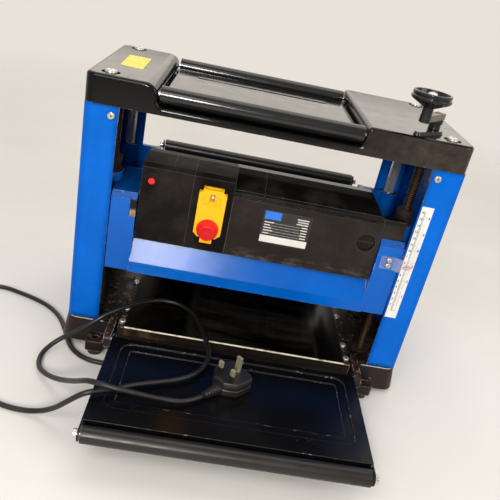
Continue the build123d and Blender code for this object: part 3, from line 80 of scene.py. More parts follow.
# Materials. Every texture uses the object's own coordinates, which are the model's, in metres.
class Shader:
    """A principled material and short ways to add nodes to it."""

    def __init__(self, name):
        self.material = bpy.data.materials.new(name)
        self.material.use_nodes = True
        self.tree = self.material.node_tree
        self.base = self.tree.nodes["Principled BSDF"]
        self.place = self.tree.nodes.new("ShaderNodeTexCoord").outputs["Object"]

    def add(self, kind, **settings):
        node = self.tree.nodes.new(kind)
        for key, value in settings.items():
            setattr(node, key, value)
        return node

    def join(self, source, target):
        self.tree.links.new(source, target)

    def feed(self, socket, value):
        """Link an output, or set a plain value."""
        if isinstance(value, bpy.types.NodeSocket):
            self.join(value, socket)
        else:
            socket.default_value = value

    def stretch(self, x, y, z):
        """Coordinates scaled along each axis."""
        node = self.add("ShaderNodeMapping")
        node.inputs["Scale"].default_value = (x, y, z)
        self.join(self.place, node.inputs["Vector"])
        return node.outputs["Vector"]

    def noise(self, scale, detail=4.0, rough=0.55, place=None):
        node = self.add("ShaderNodeTexNoise")
        node.inputs["Scale"].default_value = scale
        node.inputs["Detail"].default_value = detail
        node.inputs["Roughness"].default_value = rough
        self.join(place or self.place, node.inputs["Vector"])
        return node.outputs["Fac"]

    def cells(self, scale):
        """Distance from the middle of each of many scattered cells."""
        node = self.add("ShaderNodeTexVoronoi")
        node.inputs["Scale"].default_value = scale
        self.join(self.place, node.inputs["Vector"])
        return node.outputs["Distance"]

    def grains(self, amount):
        """Loose grains of sawdust on what faces up, thicker in drifts."""
        drifts = self.band(self.noise(18, 6, 0.7), 0.62 - amount * 0.3, 0.7)
        dots = self.band(self.cells(330), 0.16, 0.1)
        up = self.band(self.facing("Z"), 0.6, 0.9)
        return self.product(dots, drifts, up)

    def smudges(self):
        """Dull patches left by hands and wiped dust."""
        return self.band(self.noise(13, 7, 0.62), 0.46, 0.74, 0.0, 0.55)

    def axis(self, name):
        """Place along an axis."""
        split = self.add("ShaderNodeSeparateXYZ")
        self.join(self.place, split.inputs["Vector"])
        return split.outputs[name]

    def facing(self, name):
        """How far the surface faces along an axis."""
        split = self.add("ShaderNodeSeparateXYZ")
        self.join(self.add("ShaderNodeNewGeometry").outputs["Normal"], split.inputs["Vector"])
        return split.outputs[name]

    def band(self, value, low, high, out_low=0.0, out_high=1.0):
        """Map a value from one range to another, held at its ends."""
        node = self.add("ShaderNodeMapRange")
        node.clamp = True
        self.feed(node.inputs["Value"], value)
        node.inputs["From Min"].default_value = low
        node.inputs["From Max"].default_value = high
        node.inputs["To Min"].default_value = out_low
        node.inputs["To Max"].default_value = out_high
        return node.outputs["Result"]

    def maths(self, operation, first, second=0.0):
        node = self.add("ShaderNodeMath", operation=operation)
        self.feed(node.inputs[0], first)
        self.feed(node.inputs[1], second)
        return node.outputs[0]

    def product(self, first, *others):
        for other in others:
            first = self.maths("MULTIPLY", first, other)
        return first

    def highest(self, first, *others):
        for other in others:
            first = self.maths("MAXIMUM", first, other)
        return first

    def mix(self, amount, first, second):
        """Go from the first colour to the second as the amount goes from 0 to 1."""
        node = self.add("ShaderNodeMix", data_type="RGBA")
        self.feed(node.inputs["Factor"], amount)
        self.feed(node.inputs[6], first)
        self.feed(node.inputs[7], second)
        return node.outputs[2]

    def edges(self, radius):
        """1 on sharp edges, 0 on flat faces."""
        bevel = self.add("ShaderNodeBevel", samples=6)
        bevel.inputs["Radius"].default_value = radius
        flat = self.add("ShaderNodeNewGeometry").outputs["True Normal"]
        dot = self.add("ShaderNodeVectorMath", operation="DOT_PRODUCT")
        self.join(bevel.outputs["Normal"], dot.inputs[0])
        self.join(flat, dot.inputs[1])
        return self.band(dot.outputs["Value"], 0.99, 0.86)

    def bump(self, height, strength, distance):
        node = self.add("ShaderNodeBump")
        node.inputs["Strength"].default_value = strength
        node.inputs["Distance"].default_value = distance
        self.join(height, node.inputs["Height"])
        earlier = self.base.inputs["Normal"]
        if earlier.is_linked:
            self.join(earlier.links[0].from_socket, node.inputs["Normal"])
        self.join(node.outputs["Normal"], self.base.inputs["Normal"])

    def soften(self, radius):
        """Round off the sharp edges of a solid in its shading."""
        bevel = self.add("ShaderNodeBevel", samples=6)
        bevel.inputs["Radius"].default_value = radius
        self.join(bevel.outputs["Normal"], self.base.inputs["Normal"])

    def set(self, **values):
        for key, value in values.items():
            self.feed(self.base.inputs[key.replace("_", " ")], value)
        return self


def rgb(red, green, blue):
    """Colour from screen values of 0 to 255."""
    def linear(value):
        value /= 255
        return value / 12.92 if value <= 0.04045 else ((value + 0.055) / 1.055) ** 2.4
    return (linear(red), linear(green), linear(blue), 1.0)


def tone(colour, factor, lift=0.0):
    """Lighter or darker form of a colour."""
    return tuple(min(1.0, value * factor + lift) for value in colour[:3]) + (1.0,)


BLUE = rgb(0, 101, 206)
CARRIAGE_BLUE = rgb(0, 93, 190)
SAWDUST = rgb(196, 160, 112)
BARE = rgb(178, 174, 166)
RUBBED = rgb(120, 114, 105)


def pedestal_marks(s, tint):
    """Painted shade in the pockets beside the bed, and a pale chipped line round the top of the pedestals.
    """
    pedestal_top = 0.045
    side = s.maths("ABSOLUTE", s.axis("X"))
    # Painted shade: the pockets beside the bed are darkened to near black.
    pocket_shade = s.product(s.band(side, 0.222, 0.21), s.band(s.axis("Y"), -0.14, -0.125))
    tint = s.mix(pocket_shade, tint, rgb(13, 11, 10))
    off = s.maths("ABSOLUTE", s.maths("SUBTRACT", s.axis("Z"), pedestal_top))
    near = s.product(s.band(off, 0.0022, 0.001), s.band(side, 0.2, 0.203), s.edges(0.003))
    broken = s.band(s.noise(90, 6, 0.7), 0.36, 0.44)
    return s.mix(s.product(near, broken), tint, rgb(226, 216, 204))


def corner_cut(s, tint):
    """Painted shade of a notch in the carriage beside the switch box, which the mesh doesn't have, with a
    pale grainy band painted at its foot.
    """
    left, right = -0.1825, -0.1735
    bottom, top = 0.222, 0.248
    across = s.product(s.band(s.axis("X"), left, left + 0.0005), s.band(s.axis("X"), right, right - 0.0005))
    along = s.product(s.band(s.axis("Z"), bottom, bottom + 0.0008), s.band(s.axis("Z"), top, top - 0.0008))
    # Painted shade: a dark patch where the notch would be.
    notch_shade = s.product(across, along, s.band(s.facing("Y"), -0.7, -0.9))
    tint = s.mix(notch_shade, tint, rgb(9, 9, 10))
    foot = s.band(s.axis("Z"), bottom + 0.013, bottom + 0.009)
    grain = s.band(s.noise(160, 5), 0.3, 0.6, 0.2, 0.8)
    return s.mix(s.product(notch_shade, foot, grain), tint, rgb(186, 160, 122))


def dusty_end(s, tint):
    """Right end of the cover's front painted paler and brownish in noisy patches on its upright faces, a
    painted reflection.
    """
    amount = 0.28
    end = s.band(s.axis("X"), 0.04, 0.2)
    upright = s.band(s.facing("Z"), 0.75, 0.4)
    marks = s.band(s.noise(70, 8, 0.72), 0.36, 0.7, amount * 0.35, amount)
    return s.mix(s.product(end, upright, marks), tint, rgb(120, 104, 94))


def paint(name, colour, roughness, peel, chips, gloss, edge=0.0, broken=0.4, uneven=1.5, rounding=0.0008,
          grease_and_shade=0.0, dust=0.0, specks=0.0, marks=()):
    """Sprayed paint with an uneven gloss; pale edges, partly rubbed and chipped wear and partly a painted
    edge highlight; painted shade in greasy smears on flat tops; and dust on what faces up.
    """
    s = Shader(name)
    s.soften(rounding)
    tint = s.mix(s.band(s.noise(14), 0.3, 0.7), tone(colour, 0.8), colour)
    if edge:
        # Pale edges: partly rubbed wear, partly a painted edge highlight.
        rubbed_and_lit_edge = s.product(s.edges(0.0008), s.band(s.noise(30, 5), 0.3, 0.6, edge * broken, edge))
        tint = s.mix(rubbed_and_lit_edge, tint, rgb(160, 158, 154))
    rough = s.band(s.noise(45, 6), 0.35, 0.7, roughness / uneven, roughness * uneven)
    spots = s.band(s.noise(130, 5), 0.62 - chips * 0.3, 0.66 - chips * 0.3)
    tint = s.mix(s.product(s.edges(0.0016), spots), tint, BARE)
    for mark in marks:
        tint = mark(s, tint)
    if grease_and_shade:
        # Painted shade on flat tops under the cover, laid in greasy smears.
        level = s.band(s.facing("Z"), 0.86, 0.97)
        shade_smears = s.band(s.noise(26, 7, 0.65), 0.3, 0.6, grease_and_shade * 0.6, grease_and_shade)
        tint = s.mix(s.product(level, shade_smears), tint, rgb(8, 22, 46))
    if dust:
        flat = s.band(s.facing("Z"), 0.5, 0.95)
        grains = s.product(s.band(s.noise(150, 9, 0.78), 0.62 - dust * 0.25, 0.66), flat)
        tint = s.mix(s.product(grains, 0.75), tint, SAWDUST)
        rough = s.maths("ADD", rough, s.product(grains, 0.5))
    if specks:
        tint = s.mix(s.grains(specks), tint, SAWDUST)
    s.bump(s.noise(700, 2), peel, 0.0004)
    return s.set(Base_Color=tint, Roughness=rough, Specular_IOR_Level=gloss).material


def plastic(name, colour, roughness, grain=0.12, spread=0.16, scuffs=0.0, edge=0.0, gloss=0.5):
    """Moulded plastic with a fine sparked grain, slight handling marks, and pale edges that are partly
    rubbed wear and partly a painted edge highlight.
    """
    s = Shader(name)
    s.soften(0.0012)
    tint = s.mix(s.band(s.noise(22, 5), 0.35, 0.7), colour, tone(colour, 1 + spread, 0.004))
    if scuffs:
        tint = s.mix(s.smudges(), tint, rgb(64, 55, 50))
        lines = s.band(s.noise(90, 8, 0.75, s.stretch(1.0, 1.0, 9.0)), 0.66, 0.74)
        tint = s.mix(s.product(lines, scuffs), tint, RUBBED)
    if edge:
        # Pale edges: partly rubbed wear, partly a painted edge highlight.
        rubbed_and_lit_edge = s.product(s.edges(0.001), s.band(s.noise(60, 6, 0.65), 0.3, 0.65, 0.0, edge))
        tint = s.mix(rubbed_and_lit_edge, tint, RUBBED)
    rough = s.band(s.noise(60, 6), 0.3, 0.75, roughness * 0.85, roughness * 1.2)
    s.bump(s.noise(1500, 2), grain, 0.0003)
    return s.set(Base_Color=tint, Roughness=rough, Specular_IOR_Level=gloss).material


def motor_shell():
    """Moulded cover: matt on its front, glossier above the groove, scratched along its lower lip; its pale
    edges are partly rubbed wear and partly a painted edge highlight.
    """
    groove = (0.2765, 0.278)
    lip_top, lip_foot = 0.206, 0.19
    s = Shader("motor_shell")
    s.soften(0.0012)
    height = s.axis("Z")
    above = s.band(height, *groove)
    marks = s.band(s.noise(90, 8, 0.75, s.stretch(1.0, 1.0, 9.0)), 0.64, 0.74, 0.0, 0.16)
    scratches = s.band(s.noise(140, 7, 0.7, s.stretch(0.3, 1, 1)), 0.5, 0.62)
    lip = s.product(s.band(height, lip_top, lip_foot), scratches, 0.35)
    # Pale edges: partly rubbed wear, partly a painted edge highlight.
    rubbed_and_lit_edge = s.product(s.edges(0.001), s.band(s.noise(60, 6, 0.65), 0.3, 0.65, 0.0, 0.7))
    tint = s.mix(s.band(s.noise(22, 5), 0.35, 0.7), rgb(26, 20, 18), rgb(35, 28, 25))
    tint = s.mix(above, tint, rgb(12, 11, 11))
    tint = s.mix(s.smudges(), tint, rgb(60, 52, 47))
    tint = s.mix(s.highest(marks, lip, rubbed_and_lit_edge), tint, rgb(124, 117, 107))
    s.bump(s.noise(1500, 2), 0.2, 0.0003)
    rough = s.band(above, 0, 1, 0.42, 0.22)
    return s.set(Base_Color=tint, Roughness=rough, Specular_IOR_Level=0.2).material


def push_head():
    """Red push head with light and shade painted on: lighter on its cone, deeper red on its front face, and
    a dark painted shadow round its rim.
    """
    s = Shader("push_head")
    s.soften(0.0006)
    tint = s.mix(s.band(s.noise(40, 5), 0.35, 0.7), rgb(234, 30, 38), rgb(240, 44, 52))
    # Painted shade: faces turned to the front are darker red.
    face = s.band(s.facing("Y"), -0.9, -0.97)
    tint = s.mix(face, tint, rgb(204, 2, 16))
    # Painted shadow: a dark line on edges that turn to the front.
    rim_shadow = s.product(s.edges(0.0012), s.band(s.facing("Y"), -0.3, -0.6), 0.7)
    tint = s.mix(rim_shadow, tint, rgb(120, 4, 14))
    s.bump(s.noise(1500, 2), 0.05, 0.0003)
    rough = s.band(s.noise(60, 6), 0.3, 0.75, 0.24, 0.34)
    return s.set(Base_Color=tint, Roughness=rough, Specular_IOR_Level=0.3).material


def metal(name, colour, roughness, dirt=0.0, dirt_colour=rgb(70, 52, 34), shine=1.0):
    """Bare metal with a fine grain, and grease or dust where dirt is over 0."""
    s = Shader(name)
    s.soften(0.0005)
    lines = s.noise(400, 5, 0.6)
    tint = s.mix(s.band(lines, 0.3, 0.7), tone(colour, 0.75), colour)
    rough = s.band(lines, 0.3, 0.75, roughness * 0.7, roughness * 1.4)
    if dirt:
        grime = s.band(s.noise(55, 8, 0.65), 0.66 - dirt * 0.35, 0.78 - dirt * 0.3)
        tint = s.mix(grime, tint, dirt_colour)
        rough = s.maths("ADD", rough, s.product(grime, 0.35))
        shine = s.band(grime, 0, 1, shine, shine * 0.15)
    s.bump(lines, 0.05, 0.0003)
    return s.set(Base_Color=tint, Roughness=rough, Metallic=shine).material


def thread():
    """Greasy lifting screw: dark grooves with sawdust caught in them."""
    s = Shader("lifting_thread")
    wave = s.add("ShaderNodeTexWave", wave_type="BANDS", bands_direction="Z", wave_profile="SIN")
    wave.inputs["Scale"].default_value = 100.0
    wave.inputs["Distortion"].default_value = 0.0
    s.join(s.place, wave.inputs["Vector"])
    groove = wave.outputs["Fac"]
    grime = s.band(s.noise(70, 7, 0.65), 0.42, 0.66)
    tint = s.mix(groove, rgb(18, 13, 10), rgb(92, 72, 54))
    tint = s.mix(s.product(grime, 0.75), tint, rgb(62, 44, 28))
    grains = s.product(s.band(s.cells(420), 0.22, 0.1), s.band(s.noise(90, 4), 0.5, 0.62))
    tint = s.mix(grains, tint, rgb(170, 132, 88))
    s.bump(groove, 0.9, 0.0012)
    rough = s.band(grime, 0.0, 1.0, 0.3, 0.75)
    return s.set(Base_Color=tint, Roughness=rough, Metallic=0.7).material


def rubber(name, colour, roughness):
    """Black rubber with paler worn patches."""
    s = Shader(name)
    tint = s.mix(s.band(s.noise(40, 6), 0.35, 0.75), colour, tone(colour, 1.7, 0.004))
    s.bump(s.noise(900, 3), 0.12, 0.0003)
    rough = s.band(s.noise(120), 0.3, 0.7, roughness * 0.8, roughness * 1.2)
    return s.set(Base_Color=tint, Roughness=rough).material


def bed_metal():
    """Polished bed sheet with rub marks along the feed; its front lip is painted dark as a painted
    reflection of the dark table, and its upper edge carries a painted highlight line.
    """
    lip_highlight_y = (-0.1506, -0.1511)
    s = Shader("bed_sheet")
    s.soften(0.0006)
    lines = s.noise(240, 6, 0.6, s.stretch(1.0, 0.04, 1.0))
    tint = s.mix(s.band(lines, 0.3, 0.7), rgb(80, 76, 72), rgb(106, 102, 98))
    side = s.highest(s.band(s.axis("X"), -0.06, -0.16), s.band(s.axis("X"), 0.12, 0.16))
    stain = s.product(s.band(s.noise(28, 7, 0.65), 0.2, 0.42), side)
    film = s.band(s.noise(30, 7, 0.7, s.stretch(0.12, 1.0, 1.0)), 0.45, 0.7, 0.0, 0.1)
    tint = s.mix(s.band(stain, 0.0, 0.2), tint, rgb(8, 7, 6))
    # Painted reflection: faces turned to the front are dark and dull, as the steel there reflects the black
    # table.
    front = s.band(s.facing("Y"), -0.4, -0.9)
    rust = s.product(s.band(s.axis("X"), -0.09, -0.13), s.band(s.noise(40, 7), 0.4, 0.6), 0.5)
    tint = s.mix(front, tint, s.mix(rust, rgb(20, 17, 15), rgb(104, 74, 46)))
    tint = s.mix(s.grains(0.3), tint, SAWDUST)
    # Painted highlight: a bright line along the bend at the top of the front lip, uneven in strength.
    highlight_strength = s.band(s.noise(60, 6, 0.65), 0.35, 0.55, 0.25, 1.0)
    line = s.product(s.band(s.axis("Y"), *lip_highlight_y), s.band(s.facing("Z"), 0.1, 0.3), highlight_strength)
    tint = s.mix(line, tint, rgb(226, 212, 190))
    dull = s.highest(front, stain, line, film)
    s.bump(lines, 0.03, 0.0003)
    shine = s.band(dull, 0.0, 0.6, 1.0, 0.05)
    rough = s.band(dull, 0.6, 1.0, 0.16, 0.45)
    return s.set(Base_Color=tint, Metallic=shine, Roughness=rough, Specular_IOR_Level=0.15).material


def streaked_post():
    """Ground guide post with brown streaks of old grease down its length."""
    s = Shader("guide_post")
    lines = s.noise(300, 5, 0.6, s.stretch(1, 1, 0.02))
    streaks = s.band(s.noise(70, 6, 0.65, s.stretch(1, 1, 0.12)), 0.5, 0.66)
    tint = s.mix(s.band(lines, 0.3, 0.7), rgb(186, 184, 180), rgb(232, 231, 228))
    tint = s.mix(s.product(streaks, 0.7), tint, rgb(96, 70, 46))
    shine = s.band(streaks, 0, 1, 0.65, 0.2)
    s.bump(lines, 0.04, 0.0002)
    return s.set(Base_Color=tint, Metallic=shine, Roughness=s.band(streaks, 0, 1, 0.16, 0.5)).material


def spindle_finish():
    """Blackened boss below, bright bolt head above."""
    head_foot = (0.444, 0.446)
    s = Shader("knob_bolt")
    s.soften(0.0005)
    bright = s.band(s.axis("Z"), *head_foot)
    lines = s.band(s.noise(300, 4), 0.3, 0.7)
    boss = s.mix(lines, rgb(18, 18, 19), rgb(28, 27, 27))
    head = s.mix(lines, rgb(226, 223, 217), rgb(206, 202, 195))
    tint = s.mix(bright, boss, head)
    shine = s.product(bright, 0.15)
    return s.set(Base_Color=tint, Metallic=shine, Roughness=s.band(lines, 0, 1, 0.2, 0.32)).material


def printed(name, colour, roughness=0.45):
    """Printed sheet or ink with a faintly uneven tone."""
    s = Shader(name)
    tint = s.mix(s.band(s.noise(50, 6, 0.65), 0.35, 0.7), tone(colour, 0.86, 0.01), colour)
    rough = s.band(s.noise(90), 0.3, 0.7, roughness * 0.85, roughness * 1.15)
    return s.set(Base_Color=tint, Roughness=rough).material


def clear_plastic():
    """Clear plastic of the depth pointer, with faint smears."""
    s = Shader("pointer_clear")
    rough = s.band(s.noise(120, 4), 0.4, 0.7, 0.05, 0.16)
    return s.set(Base_Color=rgb(238, 240, 243), Roughness=rough, Alpha=0.14, Coat_Weight=0.5).material


mat = {
    "blue": paint("blue_paint", BLUE, 0.24, peel=0.05, chips=0.12, gloss=0.1, edge=0.25, rounding=0.012),
    "carriage": paint("carriage_blue_paint", CARRIAGE_BLUE, 0.18, peel=0.3, chips=0.1, gloss=0.22, edge=0.3,
                      uneven=1.1, grease_and_shade=0.8, marks=[corner_cut]),
    "cover": paint("gloss_black_cover", rgb(11, 10, 10), 0.1, peel=0.03, chips=0.06, gloss=0.25, edge=0.3,
                   marks=[dusty_end]),
    "table": paint("gloss_black_table", rgb(9, 9, 11), 0.24, peel=0.02, chips=0.05, gloss=0.2, edge=0.24,
                   broken=1.0, uneven=1.1, specks=0.12),
    "base": paint("base_black_paint", rgb(36, 24, 17), 0.4, peel=0.15, chips=0.6, gloss=0.25, dust=0.28,
                  specks=0.7, marks=[pedestal_marks]),
    "shell": plastic("shell_black", rgb(13, 10, 10), 0.42, grain=0.25, scuffs=0.16, edge=0.7, gloss=0.08),
    "motor_shell": motor_shell(),
    # Pale grey of the seams is a painted highlight.
    "seam": plastic("seam_grey", rgb(72, 66, 60), 0.4),
    "slot": metal("slot_grey", rgb(120, 116, 110), 0.4, dirt=0.4),
    "roller": plastic("roller_black", rgb(20, 20, 21), 0.16, grain=0.04),
    "satin": plastic("roller_satin", rgb(23, 20, 19), 0.34, grain=0.05, gloss=0.4),
    "knob": plastic("knob_black", rgb(20, 19, 19), 0.2, grain=0.03),
    "plug": plastic("plug_black", rgb(28, 23, 20), 0.34, grain=0.2),
    "yellow": plastic("switch_yellow", rgb(252, 182, 0), 0.3, grain=0.08, spread=0.05, gloss=0.3),
    "red": plastic("switch_red", rgb(226, 22, 28), 0.24, grain=0.05, spread=0.05, gloss=0.4),
    # Yellow darkened to amber: painted shade for the notch floor.
    "amber": plastic("switch_amber", rgb(206, 122, 28), 0.4, grain=0.08, spread=0.05, gloss=0.2),
    "push_head": push_head(),
    "green": plastic("switch_green", rgb(30, 140, 60), 0.3, grain=0.05),
    "steel": metal("zinc_steel", rgb(214, 211, 204), 0.25, dirt=0.12, shine=0.75),
    "arm": metal("crank_steel", rgb(128, 118, 106), 0.4, dirt=0.1, shine=0.5),
    "chrome": streaked_post(),
    "spindle": spindle_finish(),
    "white": printed("scale_white", rgb(232, 230, 226), 0.35),
    "ink": printed("ink_black", rgb(34, 33, 34)),
    "red_ink": printed("ink_red", rgb(206, 34, 30)),
    "plate": printed("plate_black", rgb(24, 23, 23), 0.3),
    "plate_pale": printed("plate_pale", rgb(226, 222, 216), 0.4),
    "plate_blue": printed("plate_blue", rgb(20, 118, 226), 0.35),
    "label": printed("label_yellow", rgb(246, 226, 30), 0.4),
    "dark": metal("oiled_steel", rgb(96, 92, 86), 0.38, dirt=0.3),
    "bronze": metal("greasy_bronze", rgb(66, 48, 32), 0.45, dirt=0.9, dirt_colour=rgb(30, 22, 16)),
    "brass": metal("pin_brass", rgb(240, 226, 190), 0.2, shine=0.75),
    "thread": thread(),
    "bed": bed_metal(),
    "cord": rubber("cord_rubber", rgb(11, 10, 10), 0.42),
    "rubber": rubber("foot_rubber", rgb(26, 25, 24), 0.7),
    "clear": clear_plastic(),
}

finish = {
    "blue": ["side_panel_left", "side_panel_right"],
    "carriage": ["carriage_casting"],
    "cover": ["top_cover"],
    "table": ["front_table", "rear_table"],
    "base": ["base_casting", "feed_gearbox", "chip_hood"],
    "shell": ["switch_box", "brush_cap"],
    "motor_shell": ["motor_cover"],
    "roller": ["return_roller_front", "return_roller_rear", "crank_flange", "crank_sleeve"],
    "satin": ["front_table_roller", "rear_table_roller"],
    "knob": ["crank_knob"],
    "yellow": ["switch_base", "switch_flap"],
    "red": ["stop_button", "reset_button"],
    "push_head": ["stop_mushroom"],
    "green": ["start_button"],
    "steel": ["pan_screws", "cover_bolts", "front_table_axle", "rear_table_axle", "hinge_pins",
              "return_axles", "pawl_shaft", "kickback_pawls", "cutter_knives", "carriage_bearings"],
    "arm": ["crank_arm"],
    "chrome": ["guide_posts"],
    "spindle": ["knob_spindle"],
    "dark": ["motor_housing", "motor_armature", "cutter_head", "infeed_roller", "outfeed_roller",
             "feed_drive", "feed_chain", "lift_chain"],
    "bronze": ["screw_bushes", "post_bushes", "lift_nuts"],
    "brass": ["plug_pins"],
    "thread": ["lead_screw_left", "lead_screw_right"],
    "bed": ["bed_plate"],
    "rubber": ["rubber_feet", "cord_gland", "drive_belt"],
    "clear": ["depth_pointer"],
}
for name, members in finish.items():
    for node in members:
        data = nodes[node].data
        data.materials.clear()
        data.materials.append(mat[name])


# Mesh helpers. Lengths are in metres.
def piece(name, mesh, material, body, bevel=0.0, smooth=True):
    """Link a mesh, give it a finish, round its edges and let it ride on a body."""
    obj = bpy.data.objects.new(name, mesh)
    bpy.context.scene.collection.objects.link(obj)
    mesh.materials.append(material)
    if bevel:
        rounding = obj.modifiers.new("rounding", "BEVEL")
        rounding.width = bevel
        rounding.segments = 2
        rounding.limit_method = "ANGLE"
        rounding.harden_normals = True
    for face in mesh.polygons:
        face.use_smooth = smooth
    if body:
        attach(obj, body)
    return obj


def from_bmesh(name, bm):
    mesh = bpy.data.meshes.new(name)
    bm.normal_update()
    bm.to_mesh(mesh)
    bm.free()
    return mesh


def add_box(bm, low, high):
    low, high = Vector(low), Vector(high)
    size = Matrix.Diagonal((*(high - low), 1.0))
    bmesh.ops.create_cube(bm, size=1.0, matrix=Matrix.Translation((low + high) / 2) @ size)


def add_skin(bm, rings):
    """Walls between rings of points, one after the other, and a face at each end."""
    for first, second in zip(rings, rings[1:]):
        count = len(first)
        for k in range(count):
            bm.faces.new((first[k], first[(k + 1) % count], second[(k + 1) % count], second[k]))
    bm.faces.new(reversed(rings[0]))
    bm.faces.new(rings[-1])


def tube(name, points, radius, sides=16):
    """Round tube along points, closed at both ends."""
    bm = bmesh.new()
    rings = []
    ahead = (points[1] - points[0]).normalized()
    across = ahead.orthogonal().normalized()
    for i, point in enumerate(points):
        last = min(i + 1, len(points) - 1)
        ahead = (points[last] - points[max(i - 1, 0)]).normalized()
        across = (across - ahead * across.dot(ahead)).normalized()
        other = ahead.cross(across)
        ring = []
        for k in range(sides):
            angle = 2 * math.pi * k / sides
            ring.append(bm.verts.new(point + radius * (across * math.cos(angle) + other * math.sin(angle))))
        rings.append(ring)
    add_skin(bm, rings)
    bmesh.ops.recalc_face_normals(bm, faces=bm.faces)
    return from_bmesh(name, bm)


def lathe(name, profile, turn, sides=24):
    """Turned form about local Z; the profile is radius and height from end to end."""
    bm = bmesh.new()
    rings = []
    for radius, height in profile:
        ring = []
        for k in range(sides):
            angle = 2 * math.pi * k / sides
            ring.append(bm.verts.new((radius * math.cos(angle), radius * math.sin(angle), height)))
        rings.append(ring)
    add_skin(bm, rings)
    bmesh.ops.transform(bm, matrix=turn, verts=bm.verts)
    bmesh.ops.recalc_face_normals(bm, faces=bm.faces)
    return from_bmesh(name, bm)


# Mains cord, from the gland at the back of the bed to the plug on the front table, in millimetres.
CORD_RADIUS = 3.5
CORD_ROUTE = [
    (-150.0, 189.0, 38.0), (-150.0, 215.0, 38.0), (-144.7, 249.6, 32.7), (-125.6, 271.3, 23.2),
    (-97.1, 272.8, 13.3), (-73.5, 254.9, 6.6), (-62.3, 226.4, 4.2), (-59.3, 195.6, 3.5),
    (-61.3, 164.8, 3.5), (-66.6, 134.3, 3.5), (-73.4, 104.1, 3.5), (-80.0, 73.9, 3.6),
    (-85.6, 43.5, 3.6), (-90.8, 13.0, 3.6), (-96.3, -17.4, 3.5), (-102.4, -47.8, 3.5),
    (-109.9, -77.8, 3.5), (-119.4, -107.2, 3.5), (-133.0, -134.9, 3.5), (-153.5, -157.9, 3.5),
    (-181.0, -171.6, 3.5), (-211.5, -169.9, 3.5), (-237.2, -153.3, 3.5), (-253.0, -126.8, 3.5),
    (-265.1, -98.4, 3.5), (-280.8, -71.8, 3.5), (-302.6, -49.9, 3.5), (-329.6, -35.0, 3.5),
    (-358.6, -24.4, 3.5), (-388.1, -14.9, 3.5), (-417.8, -19.3, 3.5), (-434.5, -44.0, 3.5),
    (-431.2, -74.6, 3.5), (-421.4, -103.9, 3.5), (-409.0, -132.3, 3.5), (-397.1, -160.8, 3.5),
    (-385.5, -189.5, 3.5), (-372.1, -217.4, 3.5), (-355.0, -243.1, 3.6), (-333.5, -265.2, 3.6),
    (-307.4, -281.7, 3.5), (-277.8, -290.1, 3.5), (-247.4, -293.4, 7.0), (-222.8, -301.1, 23.4),
    (-204.7, -310.2, 46.7), (-181.7, -311.7, 69.0), (-154.3, -298.0, 65.6), (-129.9, -279.2, 63.2),
    (-101.9, -266.1, 62.4), (-73.3, -254.4, 62.9), (-49.6, -235.1, 63.6), (-38.1, -206.6, 64.0),
    (-39.1, -175.9, 64.2), (-48.7, -146.6, 64.4), (-59.1, -117.4, 64.3), (-71.7, -89.3, 64.1),
    (-95.2, -70.0, 63.8), (-125.4, -69.2, 64.3), (-149.5, -87.9, 66.9), (-169.2, -111.5, 70.7),
    (-190.0, -134.1, 69.7), (-213.1, -146.4, 54.2), (-236.4, -148.9, 34.1), (-261.5, -151.8, 16.5),
    (-278.2, -173.2, 5.0), (-272.8, -202.8, 4.0), (-253.1, -225.4, 11.1), (-232.7, -244.9, 23.6),
    (-215.1, -264.1, 40.3), (-199.4, -283.4, 58.6), (-181.3, -302.1, 79.0), (-152.8, -310.6, 80.5),
    (-123.3, -305.9, 73.6), (-94.4, -299.3, 65.1), (-56.9, -296.2, 63.0), (-38.8, -277.5, 63.0)
]


def mesh_of(data):
    """Mesh of a curve or a text, which is then removed."""
    holder = bpy.data.objects.new(data.name, data)
    bpy.context.scene.collection.objects.link(holder)
    bpy.context.view_layer.update()
    mesh = bpy.data.meshes.new_from_object(holder.evaluated_get(bpy.context.evaluated_depsgraph_get()))
    bpy.data.objects.remove(holder)
    bpy.data.curves.remove(data)
    return mesh


def make_cord():
    """Cord as a tube on a smooth curve; it is attached to no body."""
    curve = bpy.data.curves.new("cord_line", "CURVE")
    curve.dimensions = "3D"
    curve.resolution_u = 8
    spline = curve.splines.new("NURBS")
    spline.points.add(len(CORD_ROUTE) - 1)
    for target, point in zip(spline.points, CORD_ROUTE):
        target.co = (*mm(*point), 1.0)
    spline.order_u = 3
    spline.use_endpoint_u = True
    line = mesh_of(curve)
    points = [vertex.co.copy() for vertex in line.vertices]
    bpy.data.meshes.remove(line)
    length = sum((b - a).length for a, b in zip(points, points[1:]))
    cord = piece("mains_lead", tube("mains_lead", points, CORD_RADIUS * MM), mat["cord"], None)
    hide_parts("mains_cord")
    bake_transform(cord)
    return cord, points, length


cord, cord_points, cord_length = make_cord()

# Plug: a moulded body with a waist, a finger ridge and a ribbed strain relief, in millimetres.
# Its own X points to the earth pin, and its pins stand up.
PLUG_TURN = Matrix.Translation(mm(-6.2, -243.7, 56.5)) @ Matrix.Rotation(math.radians(46), 4, "Z")
PLUG_OUTLINE = [(-23, -9), (-19, -14), (-10, -23), (8, -25), (19, -23), (23, -16),
                (23, 16), (19, 23), (8, 25), (-10, 23), (-19, 14), (-23, 9)]
PLUG_LEVELS = [(0.0, 0.93), (2.5, 1.0), (10.0, 1.0), (11.0, 0.965), (13.0, 0.965), (14.0, 1.0),
               (19.5, 0.985), (22.0, 0.93)]
RELIEF_START, RELIEF_END = -21.0, -47.4
RELIEF_RADIUS, RELIEF_TIP = 8.4, 4.0
RELIEF_HEIGHT = 6.5
RIB_PITCH, RIB_TAPER, RIB_DEPTH = 4.4, 0.7, 1.8
SLEEVE_OFFSET, SLEEVE_HALF = 11.1, 3.4
SLEEVE_BACK, SLEEVE_FRONT = -13.3, -8.9
SLEEVE_FOOT, SLEEVE_TOP = 21.5, 31.0


